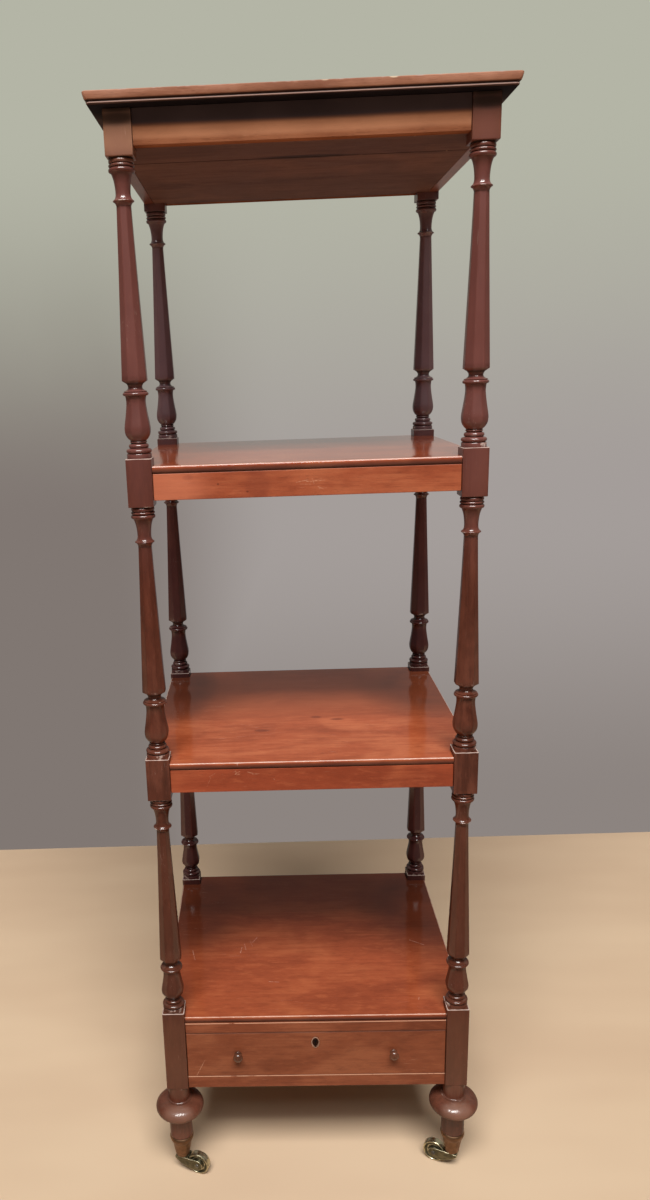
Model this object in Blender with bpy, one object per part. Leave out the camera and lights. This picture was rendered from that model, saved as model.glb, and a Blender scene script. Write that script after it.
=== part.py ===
"""Four-tier whatnot with a drawer in the base, standing on brass cup castors.

Metres, +Z up. The front faces -Y. The origin lies on the floor, under the
centre of the stand. Every size is a named value; the heights are stacked from
the floor up, and whatever seats on a piece takes its place from that piece.
"""
import bmesh
import bpy
from math import cos, pi, radians, sin, sqrt
from mathutils import Matrix, Vector

MM = 0.001
GAP = 0.3 * MM              # left between pieces that touch
OVERRUN = 4 * MM            # how far a cutter runs past the face that it opens
MERGE = 0.01 * MM

# Plan of the stand
BLOCK = 32 * MM             # square section of the posts at each tier
POST_SPAN_X = 410.5 * MM    # between post centres, left to right
POST_SPAN_Y = 371.5 * MM    # between post centres, front to back
FRONT_INSET = 3 * MM        # face of a front rail behind the faces of the blocks
SIDE_INSET = 1 * MM
BACK_INSET = 8 * MM

# Heights, from the floor up
LEG_CLEARANCE = 157.5 * MM
LOWER_RAIL_H = 19.4 * MM
DRAWER_OPENING_H = 74.6 * MM
UPPER_RAIL_H = 16.6 * MM
BOARD_T = 9.2 * MM
BLOCK_RISE = 9.7 * MM       # a block stands this much above its shelf
STAGE_H = 337.4 * MM        # turned length between two blocks
BLOCK_DROP = 7.8 * MM       # a block runs this much below a shelf's rails
LOWER_SHELF_LIFT = 2.4 * MM # the lower shelf sits this much higher on its blocks
SHELF_RAIL_H = 32.6 * MM
FRIEZE_DROP = 10.2 * MM
FRIEZE_H = 38.2 * MM
TOP_T = 13.5 * MM

# Rails and their joints
RAIL_T = 14 * MM
TENON_SHOULDER = 4 * MM
TENON_L = 10 * MM
LOWER_RAIL_T = 40 * MM
UPPER_RAIL_T = 18 * MM

# Boards
TOP_OVERHANG = 18.8 * MM    # past the faces of the blocks
TOP_CORNER_R = 4 * MM
TOP_CORNER_STEPS = 2
QUIRK_DEPTH = 5 * MM        # of the groove between the fascia and the fillet
top_edge_shares = ((0.0, 0.18), (0.067, 0.0), (0.607, 0.38), (0.637, 1.0), (0.763, 1.0),
                   (0.793, 0.76), (0.86, 0.72), (0.948, 0.88), (1.0, 1.12))
BOARD_FRONT_INSET = 1.8 * MM
BOARD_SIDE_INSET = 0.6 * MM
BOARD_BACK_INSET = 4 * MM
NOSING_D = 4 * MM           # how far back the nosing's round runs
NOSING_H = 4.6 * MM
ARRIS = 1 * MM
SOFFIT_T = 8 * MM
SOFFIT_FRONT_D = 82 * MM    # the narrow board of the two under the top
SOFFIT_JOINT = 1 * MM

# Turned stages, measured down from the block above
COLLAR_H = 14 * MM          # shoulder and two beads
BELL_H = 30.8 * MM          # flared neck down to the thin ring
RING_H = 5.4 * MM
TAPER_H = 197.4 * MM        # octagonal, widening downwards
TAPER_H_LOWEST = 205.2 * MM
TAPER_TOP_R = 8.3 * MM      # to the flats
TAPER_FOOT_R = 15.1 * MM
TAPER_CHAMFER = 2.8 * MM
COVE_H = 12.4 * MM          # hollow and the sharp astragal under the taper
SOCLE_H = 20.8 * MM         # thin neck, cushion and drum on the next block
ROUND_SIDES = 12
FACET_SIDES = 8
FOOT_SIDES = 14
BEAD_R = 15 * MM
BELL_NECK_R = 8.6 * MM
RING_R = 12.3 * MM
COVE_R = 7.8 * MM
ASTRAGAL_R = 15.6 * MM
VASE_NECK_R = 11.7 * MM
VASE_R = 15.7 * MM
SOCLE_NECK_R = 8.9 * MM
SOCLE_R = 15.4 * MM

# Outlines as shares of the section's height and radius, from its top down
collar_shares = ((0.0, 1.03), (0.2, 0.87), (0.38, 0.97), (0.56, 0.87),
                 (0.68, 1.0), (0.9, 0.99))
bell_shares = ((0.19, 0.48), (0.58, 0.02), (0.88, 0.18))
ring_fillet_shares = (0.5, 0.3)
cove_share = 0.4
vase_shares = ((0.2, 0.0), (0.42, 0.34), (0.66, 0.9), (0.8, 1.0), (1.0, -0.2))
socle_shares = ((0.18, 0.0), (0.5, 1.0), (0.62, 0.84), (0.67, 1.0), (1.0, 1.0))

# Feet
ANKLE_R = 15.8 * MM         # round shaft under the lowest block
ANKLE_H = 26.5 * MM
BUN_R = 35.8 * MM
BUN_H = 25.5 * MM
LEG_NECK_R = 17.1 * MM
bun_shares = ((0.0, 0.0), (0.14, 0.6), (0.31, 0.9), (0.5, 1.0),
              (0.78, 0.87), (1.0, 0.45))

# Castors
CUP_TOP_Z = 65 * MM
CUP_BOTTOM_Z = 26 * MM
CUP_TOP_R = 16.6 * MM
CUP_BOTTOM_R = 10.2 * MM
CUP_SWELL = 2.2 * MM        # rounded band round the mouth
cup_swell_shares = ((0.12, 1.0), (0.32, 0.1))
CUP_WALL = 1.4 * MM
CUP_FLOOR = 3 * MM
CUP_CORNER = 2.2 * MM
CUP_SIDES = 12
WHEEL_R = 17 * MM
WHEEL_W = 10.8 * MM
WHEEL_RIM = 2.8 * MM        # depth of the rim
WHEEL_SLOPE = 3 * MM        # run of the dished face between rim and web
WHEEL_DISH = 3 * MM         # how far the web lies below the rim's face
WHEEL_ROUND = 1.2 * MM
WHEEL_HUB_R = 5 * MM
WHEEL_SIDES = 16
TRAIL = 26.2 * MM             # wheel axle to swivel axis
FORK_CHEEK = 2.6 * MM
FORK_SIDE_PLAY = 0.5 * MM
FORK_PLAY = 0.9 * MM
FORK_END_R = 8.4 * MM
FORK_END_STEPS = 5
HORN_PLATE_R = 9.6 * MM
HORN_PLATE_T = 3 * MM
HORN_BELLY_Z = 8.2 * MM     # underside of the horn over the floor
horn_nose_shares = ((-1.0, 0.0), (-0.55, 0.3), (0.0, 0.58), (1.3, 0.96))
spindle_root_share = 0.5
SPINDLE_R = 3 * MM
SPINDLE_HEAD_R = 4.6 * MM
SPINDLE_HEAD_H = 2.4 * MM
HEAD_ROOM = 0.9 * MM
AXLE_R = 2 * MM
AXLE_HEAD_R = 3.2 * MM
AXLE_HEAD_H = 1.1 * MM
PIN_SIDES = 8
swivel_degrees = {"front_left": -19.0, "front_right": 154.0,
                  "rear_left": 35.0, "rear_right": 200.0}

# Drawer and its carcase
DRAWER_SIDE_PLAY = 0.6 * MM
DRAWER_TOP_PLAY = 0.7 * MM
DRAWER_FRONT_T = 16 * MM
DRAWER_SIDE_T = 8 * MM
DRAWER_SIDE_DROP = 5 * MM   # sides lower than the front
DRAWER_BOTTOM_T = 5 * MM
DRAWER_BOTTOM_RISE = 6 * MM
DRAWER_BACK_ROOM = 12 * MM  # behind the closed drawer
GROOVE_DEPTH = 3 * MM
TAIL_L = 10 * MM            # lap of the sides into the front
TAIL_FLARE = 2 * MM
TAIL_COUNT = 3
tail_width_share = 0.55
GUIDE_H = 24 * MM
BEARER_W = 16 * MM
BEARER_T = 15 * MM
KICKER_W = 14 * MM
KICKER_PLAY = 1 * MM
STOP_W = 30 * MM
STOP_D = 10 * MM
STOP_T = 4.4 * MM
STOP_SPAN = 200 * MM
KNOB_SPAN = 227 * MM
KNOB_DROP = 35.4 * MM       # knob axis below the top of the drawer front
KNOB_R = 7 * MM
KNOB_L = 13 * MM
KNOB_SIDES = 10
KNOB_SHANK_R = 3.5 * MM
KNOB_SHANK_OUT = 3 * MM     # end of the shank past the back of the front
knob_shares = ((0.0, 0.76), (0.12, 0.76), (0.22, 0.5), (0.4, 0.46),
               (0.56, 0.86), (0.72, 1.0), (0.88, 0.86), (1.0, 0.4))

# Lock
KEYHOLE_DROP = 17 * MM      # keyhole below the top of the drawer front
ESCUTCHEON_W = 12 * MM
ESCUTCHEON_H = 19 * MM
ESCUTCHEON_T = 1.2 * MM
ESCUTCHEON_PROUD = 0.6 * MM
ESCUTCHEON_STEPS = 14
KEYHOLE_R = 2.1 * MM
KEYHOLE_SLOT_W = 1.8 * MM
KEYHOLE_SLOT_L = 5 * MM
LOCK_W = 38 * MM
LOCK_H = 28 * MM
LOCK_T = 9 * MM
BOLT_W = 13 * MM
BOLT_T = 3.2 * MM
BOLT_H = 15 * MM
BOLT_TRAVEL = 5 * MM

# Where things stand, worked out from the sizes above
HALF_BLOCK = BLOCK / 2
POST_X = POST_SPAN_X / 2
POST_Y = POST_SPAN_Y / 2
FACE_X = POST_X + HALF_BLOCK
FACE_Y = POST_Y + HALF_BLOCK
Z_OPENING = LEG_CLEARANCE + LOWER_RAIL_H
Z_UPPER_RAIL = Z_OPENING + DRAWER_OPENING_H
CARCASE_H = LOWER_RAIL_H + DRAWER_OPENING_H + UPPER_RAIL_H
Z_BASE_BOARD = Z_UPPER_RAIL + UPPER_RAIL_H + GAP
Z_BASE_TOP = Z_BASE_BOARD + BOARD_T + BLOCK_RISE
Z_BLOCK_3 = Z_BASE_TOP + STAGE_H
Z_RAIL_3 = Z_BLOCK_3 + BLOCK_DROP + LOWER_SHELF_LIFT
Z_BOARD_3 = Z_RAIL_3 + SHELF_RAIL_H + GAP
Z_BLOCK_3_TOP = Z_BOARD_3 + BOARD_T + BLOCK_RISE - LOWER_SHELF_LIFT
Z_BLOCK_2 = Z_BLOCK_3_TOP + STAGE_H
Z_RAIL_2 = Z_BLOCK_2 + BLOCK_DROP
Z_BOARD_2 = Z_RAIL_2 + SHELF_RAIL_H + GAP
Z_BLOCK_2_TOP = Z_BOARD_2 + BOARD_T + BLOCK_RISE
Z_BLOCK_1 = Z_BLOCK_2_TOP + STAGE_H
Z_FRIEZE = Z_BLOCK_1 + FRIEZE_DROP
Z_BLOCK_1_TOP = Z_FRIEZE + FRIEZE_H
Z_TOP_BOARD = Z_BLOCK_1_TOP + GAP
CORNERS = {"front_left": (-POST_X, -POST_Y), "front_right": (POST_X, -POST_Y),
           "rear_left": (-POST_X, POST_Y), "rear_right": (POST_X, POST_Y)}
RAIL_FRONT_Y = -FACE_Y + FRONT_INSET
RAIL_BACK_Y = FACE_Y - BACK_INSET
RAIL_SIDE_X = FACE_X - SIDE_INSET
INNER_BACK_Y = RAIL_BACK_Y - RAIL_T
INNER_SIDE_X = RAIL_SIDE_X - RAIL_T
CLEAR_X = POST_X - HALF_BLOCK       # between the posts, from the middle


def clear_scene():
    for obj in list(bpy.data.objects):
        bpy.data.objects.remove(obj, do_unlink=True)


def material(name, colour, roughness, metallic=0.0):
    mat = bpy.data.materials.new(name)
    mat.diffuse_color = (*colour, 1.0)
    mat.use_nodes = True
    shader = mat.node_tree.nodes["Principled BSDF"]
    shader.inputs["Base Color"].default_value = (*colour, 1.0)
    shader.inputs["Roughness"].default_value = roughness
    shader.inputs["Metallic"].default_value = metallic
    return mat


def finish(name, bm, mat, location=(0, 0, 0), parent=None, rotation=(0, 0, 0), smooth=None):
    """Turn a bmesh into a named object with its own material."""
    bmesh.ops.remove_doubles(bm, verts=bm.verts, dist=MERGE)
    bmesh.ops.recalc_face_normals(bm, faces=bm.faces)
    mesh = bpy.data.meshes.new(name)
    bm.to_mesh(mesh)
    bm.free()
    if smooth:
        mesh.shade_smooth()
        mesh.set_sharp_from_angle(angle=radians(smooth))
    mesh.materials.append(mat)
    obj = bpy.data.objects.new(name, mesh)
    obj.location = location
    obj.rotation_euler = rotation
    obj.parent = parent
    bpy.context.collection.objects.link(obj)
    return obj


def pivot(name, location, angle=0.0):
    empty = bpy.data.objects.new(name, None)
    empty.location = location
    empty.rotation_euler = (0, 0, angle)
    bpy.context.collection.objects.link(empty)
    return empty


def boolean(obj, tool, operation="DIFFERENCE"):
    mod = obj.modifiers.new(operation.lower(), "BOOLEAN")
    mod.operation = operation
    mod.solver = "EXACT"
    mod.object = tool
    tool.hide_render = True
    tool.display_type = "WIRE"


def add_box(bm, low, high):
    """Add a box between two corners and return its vertices."""
    size = Vector(high) - Vector(low)
    middle = (Vector(high) + Vector(low)) / 2
    matrix = Matrix.Translation(middle) @ Matrix.Diagonal((*size, 1))
    return bmesh.ops.create_cube(bm, size=1, matrix=matrix)["verts"]


def box(name, low, high, mat):
    """A plain board with its origin in its middle."""
    middle = (Vector(low) + Vector(high)) / 2
    bm = bmesh.new()
    add_box(bm, Vector(low) - middle, Vector(high) - middle)
    return finish(name, bm, mat, middle)


def end_faces(bm, axis):
    return [f for f in bm.faces if abs(f.normal[axis]) > 0.99]


def tenoned(name, low, high, axis, mat):
    """A rail between two posts: each end is inset and drawn out as a tenon."""
    middle = (Vector(low) + Vector(high)) / 2
    bm = bmesh.new()
    add_box(bm, Vector(low) - middle, Vector(high) - middle)
    bm.normal_update()
    for face in end_faces(bm, axis):
        normal = face.normal.copy()
        bmesh.ops.inset_individual(bm, faces=[face], thickness=TENON_SHOULDER,
                                   use_even_offset=True)
        grown = bmesh.ops.extrude_face_region(bm, geom=[face])
        moved = [v for v in grown["geom"] if isinstance(v, bmesh.types.BMVert)]
        bmesh.ops.translate(bm, verts=moved, vec=normal * (TENON_L - GAP))
        bmesh.ops.delete(bm, geom=[face], context="FACES_ONLY")
    return finish(name, bm, mat, middle)


def mortise(bm, low, high, axis):
    """Cut for both tenons of a rail, in the posts that it runs between."""
    play = TENON_SHOULDER - GAP
    for end in (0, 1):
        near = list(low)
        far = list(high)
        for other in range(3):
            if other != axis:
                near[other] += play
                far[other] -= play
        if end:
            near[axis] = high[axis] - OVERRUN
            far[axis] = high[axis] + TENON_L
        else:
            near[axis] = low[axis] - TENON_L
            far[axis] = low[axis] + OVERRUN
        add_box(bm, near, far)


def ring(bm, sides, radius, z, start=0.0):
    """A closed loop of vertices round the Z axis, counter-clockwise."""
    verts = []
    for i in range(sides):
        angle = start + 2 * pi * i / sides
        verts.append(bm.verts.new((radius * cos(angle), radius * sin(angle), z)))
    return verts


def stitch(bm, upper, lower):
    """Close the band between two loops that may differ in their number of sides."""
    shift = min(range(len(lower)), key=lambda k: (lower[k].co - upper[0].co).length)
    lower = lower[shift:] + lower[:shift]
    if len(upper) == len(lower):
        for i in range(len(upper)):
            j = (i + 1) % len(upper)
            bm.faces.new((lower[i], lower[j], upper[j], upper[i]))
        return
    i = j = 0
    while i < len(upper) or j < len(lower):
        u, v = upper[i % len(upper)], lower[j % len(lower)]
        u_next, v_next = upper[(i + 1) % len(upper)], lower[(j + 1) % len(lower)]
        along_upper = (u_next.co - v.co).length
        along_lower = (v_next.co - u.co).length
        if j >= len(lower) or (i < len(upper) and along_upper < along_lower):
            bm.faces.new((v, u_next, u))
            i += 1
        else:
            bm.faces.new((v, v_next, u))
            j += 1


def loft(bm, loops):
    """Skin a stack of loops, first one on top, and cap both ends."""
    for upper, lower in zip(loops, loops[1:]):
        stitch(bm, upper, lower)
    bm.faces.new(loops[0])
    bm.faces.new(list(reversed(loops[-1])))


def lathe(bm, points, sides):
    """Turn a closed outline of (radius, z) points round the Z axis into a solid ring."""
    loops = [ring(bm, sides, radius, z) for radius, z in points]
    for upper, lower in zip(loops, loops[1:] + loops[:1]):
        stitch(bm, upper, lower)


def circle(bm, radius, z, sides=ROUND_SIDES):
    return ring(bm, sides, radius, z)


def octagon(bm, flat_radius, z):
    step = pi / FACET_SIDES
    return ring(bm, FACET_SIDES, flat_radius / cos(step), z, step)


def square(bm, z):
    return ring(bm, 4, HALF_BLOCK * sqrt(2), z, pi / 4)


def between(low, high, share):
    return low + (high - low) * share


def turned_stage(bm, z, taper_h):
    """Loops of one turned stage, from the block above at z down to the next block."""
    loops = [circle(bm, BEAD_R * r, z - COLLAR_H * h) for h, r in collar_shares]
    z_bell = z - COLLAR_H
    loops += [circle(bm, between(BELL_NECK_R, BEAD_R, r), z_bell - BELL_H * h)
              for h, r in bell_shares]
    z_ring = z_bell - BELL_H
    z_taper = z_ring - RING_H
    loops.append(circle(bm, RING_R, z_ring))
    fall, spread = ring_fillet_shares
    loops.append(circle(bm, between(TAPER_TOP_R, RING_R, spread), between(z_ring, z_taper, fall)))
    z_foot = z_taper - taper_h
    loops.append(octagon(bm, TAPER_TOP_R, z_taper))
    loops.append(octagon(bm, TAPER_FOOT_R, z_foot + TAPER_CHAMFER))
    loops.append(octagon(bm, TAPER_FOOT_R - TAPER_CHAMFER, z_foot))
    z_vase = z_foot - COVE_H
    loops.append(circle(bm, COVE_R, between(z_foot, z_vase, cove_share)))
    loops.append(circle(bm, ASTRAGAL_R, z_vase))
    z_socle = z - STAGE_H + SOCLE_H
    loops += [octagon(bm, between(VASE_NECK_R, VASE_R, r), between(z_vase, z_socle, h))
              for h, r in vase_shares]
    loops += [circle(bm, between(SOCLE_NECK_R, SOCLE_R, r), z_socle - SOCLE_H * h)
              for h, r in socle_shares]
    return loops


def foot_loops(bm):
    """Ankle, flattened bun and the neck that enters the castor cup."""
    z_bun = LEG_CLEARANCE - ANKLE_H
    loops = [circle(bm, ANKLE_R, LEG_CLEARANCE, FOOT_SIDES)]
    loops += [circle(bm, between(ANKLE_R, BUN_R, r), z_bun - BUN_H * h, FOOT_SIDES)
              for h, r in bun_shares]
    z_neck = z_bun - BUN_H
    z_rim = CUP_TOP_Z + GAP
    loops += [circle(bm, LEG_NECK_R, z, FOOT_SIDES) for z in (z_neck, z_rim)]
    loops.append(circle(bm, cup_inner_radius(CUP_TOP_Z) - GAP, z_rim, CUP_SIDES))
    z_end = CUP_BOTTOM_Z + CUP_FLOOR + GAP + SPINDLE_HEAD_H + HEAD_ROOM
    loops.append(circle(bm, cup_inner_radius(z_end) - GAP, z_end, CUP_SIDES))
    return loops


def cup_radius(z):
    """Outer radius of the cup's cone."""
    share = (z - CUP_BOTTOM_Z) / (CUP_TOP_Z - CUP_BOTTOM_Z)
    return between(CUP_BOTTOM_R, CUP_TOP_R, share)


def cup_inner_radius(z):
    return cup_radius(z) - CUP_WALL


def post(name, corner, cutter, mat):
    """A post turned from one length: four square blocks, three stages and a foot."""
    bm = bmesh.new()
    loops = [square(bm, Z_BLOCK_1_TOP), square(bm, Z_BLOCK_1)]
    loops += turned_stage(bm, Z_BLOCK_1, TAPER_H)
    loops += [square(bm, Z_BLOCK_2_TOP), square(bm, Z_BLOCK_2)]
    loops += turned_stage(bm, Z_BLOCK_2, TAPER_H)
    loops += [square(bm, Z_BLOCK_3_TOP), square(bm, Z_BLOCK_3)]
    loops += turned_stage(bm, Z_BLOCK_3, TAPER_H_LOWEST)
    loops += [square(bm, Z_BASE_TOP), square(bm, LEG_CLEARANCE)]
    loops += foot_loops(bm)
    loft(bm, loops)
    obj = finish(name, bm, mat, (*CORNERS[corner], 0), smooth=32)
    boolean(obj, cutter)
    return obj


def plan_loop(bm, x, y, radius, z, steps):
    """A rectangle with rounded corners at one height."""
    verts = []
    for i, (sx, sy) in enumerate(((1, 1), (-1, 1), (-1, -1), (1, -1))):
        for k in range(steps + 1):
            angle = pi / 2 * (i + k / steps)
            verts.append(bm.verts.new((sx * (x - radius) + radius * cos(angle),
                                       sy * (y - radius) + radius * sin(angle), z)))
    return verts


def moulded_top(name, mat):
    """Top board: a flat band, a quirk and a bead run round its edge."""
    x = FACE_X + TOP_OVERHANG
    y = FACE_Y + TOP_OVERHANG
    bm = bmesh.new()
    loops = []
    for drop, depth in top_edge_shares:
        inset = QUIRK_DEPTH * depth
        loops.append(plan_loop(bm, x - inset, y - inset, TOP_CORNER_R,
                               Z_TOP_BOARD + TOP_T * (1 - drop), TOP_CORNER_STEPS))
    loft(bm, loops)
    return finish(name, bm, mat)


def shelf_board(name, z, cutter, mat):
    """Shelf with a rounded nosing, notched round the four posts."""
    low = Vector((-FACE_X + BOARD_SIDE_INSET, -FACE_Y + BOARD_FRONT_INSET, 0))
    high = Vector((FACE_X - BOARD_SIDE_INSET, FACE_Y - BOARD_BACK_INSET, 0))
    bm = bmesh.new()
    profile = [(ARRIS, 0), (0, ARRIS)]
    for k in range(4):
        angle = pi / 6 * k
        profile.append((NOSING_D * (1 - cos(angle)), BOARD_T - NOSING_H * (1 - sin(angle))))
    loops = []
    for inset, height in reversed(profile):
        loops.append([bm.verts.new(co) for co in (
            (high.x - inset, high.y - inset, height), (low.x + inset, high.y - inset, height),
            (low.x + inset, low.y + inset, height), (high.x - inset, low.y + inset, height))])
    loft(bm, loops)
    obj = finish(name, bm, mat, (0, 0, z))
    boolean(obj, cutter)
    return obj


def rail_frame(prefix, z, height, cuts, mat):
    """Four rails between the posts at one tier, with their mortises added to the cuts."""
    x = POST_X - HALF_BLOCK - GAP
    y = POST_Y - HALF_BLOCK - GAP
    top = z + height
    runs = {
        "front_rail": ((-x, RAIL_FRONT_Y, z), (x, RAIL_FRONT_Y + RAIL_T, top), 0),
        "back_rail": ((-x, INNER_BACK_Y, z), (x, RAIL_BACK_Y, top), 0),
        "left_rail": ((-RAIL_SIDE_X, -y, z), (-INNER_SIDE_X, y, top), 1),
        "right_rail": ((INNER_SIDE_X, -y, z), (RAIL_SIDE_X, y, top), 1)}
    for side, (low, high, axis) in runs.items():
        tenoned(prefix + "_" + side, low, high, axis, mat)
        mortise(cuts, low, high, axis)


def extrude_outline(bm, outline, depth, axis):
    """Extrude a closed outline, given in the plane square to the axis, from 0 to depth."""
    def place(a, b, c):
        return {0: (c, a, b), 1: (a, c, b), 2: (a, b, c)}[axis]
    near = [bm.verts.new(place(a, b, 0)) for a, b in outline]
    far = [bm.verts.new(place(a, b, depth)) for a, b in outline]
    count = len(outline)
    for i in range(count):
        j = (i + 1) % count
        bm.faces.new((near[i], near[j], far[j], far[i]))
    bm.faces.new(near)
    bm.faces.new(far)


def carcase(cuts, notches, mat, plain):
    """Rails, panels, runners, kickers and stops round the drawer."""
    x = POST_X - HALF_BLOCK - GAP
    y = POST_Y - HALF_BLOCK - GAP
    top = LEG_CLEARANCE + CARCASE_H
    runs = {
        "base_lower_rail": ((-x, RAIL_FRONT_Y, LEG_CLEARANCE),
                            (x, RAIL_FRONT_Y + LOWER_RAIL_T, Z_OPENING), 0, mat),
        "base_upper_rail": ((-x, RAIL_FRONT_Y, Z_UPPER_RAIL),
                            (x, RAIL_FRONT_Y + UPPER_RAIL_T, top), 0, mat),
        "base_back_panel": ((-x, INNER_BACK_Y, LEG_CLEARANCE), (x, RAIL_BACK_Y, top), 0, mat),
        "base_left_panel": ((-RAIL_SIDE_X, -y, LEG_CLEARANCE), (-INNER_SIDE_X, y, top), 1, mat),
        "base_right_panel": ((INNER_SIDE_X, -y, LEG_CLEARANCE), (RAIL_SIDE_X, y, top), 1, mat)}
    pieces = {}
    for name, (low, high, axis, wood) in runs.items():
        pieces[name] = tenoned(name, low, high, axis, wood)
        mortise(cuts, low, high, axis)

    front = RAIL_FRONT_Y + LOWER_RAIL_T + GAP
    length = INNER_BACK_Y - GAP - front
    inner = CLEAR_X - BEARER_W
    outer = INNER_SIDE_X - GAP
    under = Z_OPENING - BEARER_T
    guide_top = Z_OPENING + GUIDE_H
    for side, sign in (("left", -1), ("right", 1)):
        bm = bmesh.new()
        outline = ((inner, under), (outer, under), (outer, guide_top),
                   (CLEAR_X, guide_top), (CLEAR_X, Z_OPENING), (inner, Z_OPENING))
        extrude_outline(bm, [(sign * a, b) for a, b in outline], length, 1)
        runner = finish("drawer_runner_" + side, bm, plain, (0, front, 0))
        boolean(runner, notches)

    front = RAIL_FRONT_Y + UPPER_RAIL_T + GAP
    under = drawer_top() - DRAWER_SIDE_DROP + KICKER_PLAY
    for side, sign in (("left", -1), ("right", 1)):
        edges = sorted((sign * (CLEAR_X - KICKER_W), sign * (CLEAR_X - GAP)))
        box("drawer_kicker_" + side, (edges[0], front, under),
            (edges[1], INNER_BACK_Y - GAP, top), plain)

    front = RAIL_FRONT_Y + DRAWER_FRONT_T + GAP
    for side, sign in (("left", -1), ("right", 1)):
        middle = sign * STOP_SPAN / 2
        box("drawer_stop_" + side, (middle - STOP_W / 2, front, Z_OPENING + GAP),
            (middle + STOP_W / 2, front + STOP_D, Z_OPENING + GAP + STOP_T), plain)
    return pieces


def drawer_top():
    return Z_UPPER_RAIL - DRAWER_TOP_PLAY


def tail_outline(z_low, z_high):
    """Dovetails on the end of a drawer side, as (y, z) points with y from the shoulder."""
    pitch = (z_high - z_low) / TAIL_COUNT
    half = pitch * tail_width_share / 2
    points = []
    for i in range(TAIL_COUNT):
        middle = z_high - pitch * (i + 0.5)
        points += [(0, middle + half - TAIL_FLARE), (-TAIL_L, middle + half),
                   (-TAIL_L, middle - half), (0, middle - half + TAIL_FLARE)]
    return points


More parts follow.
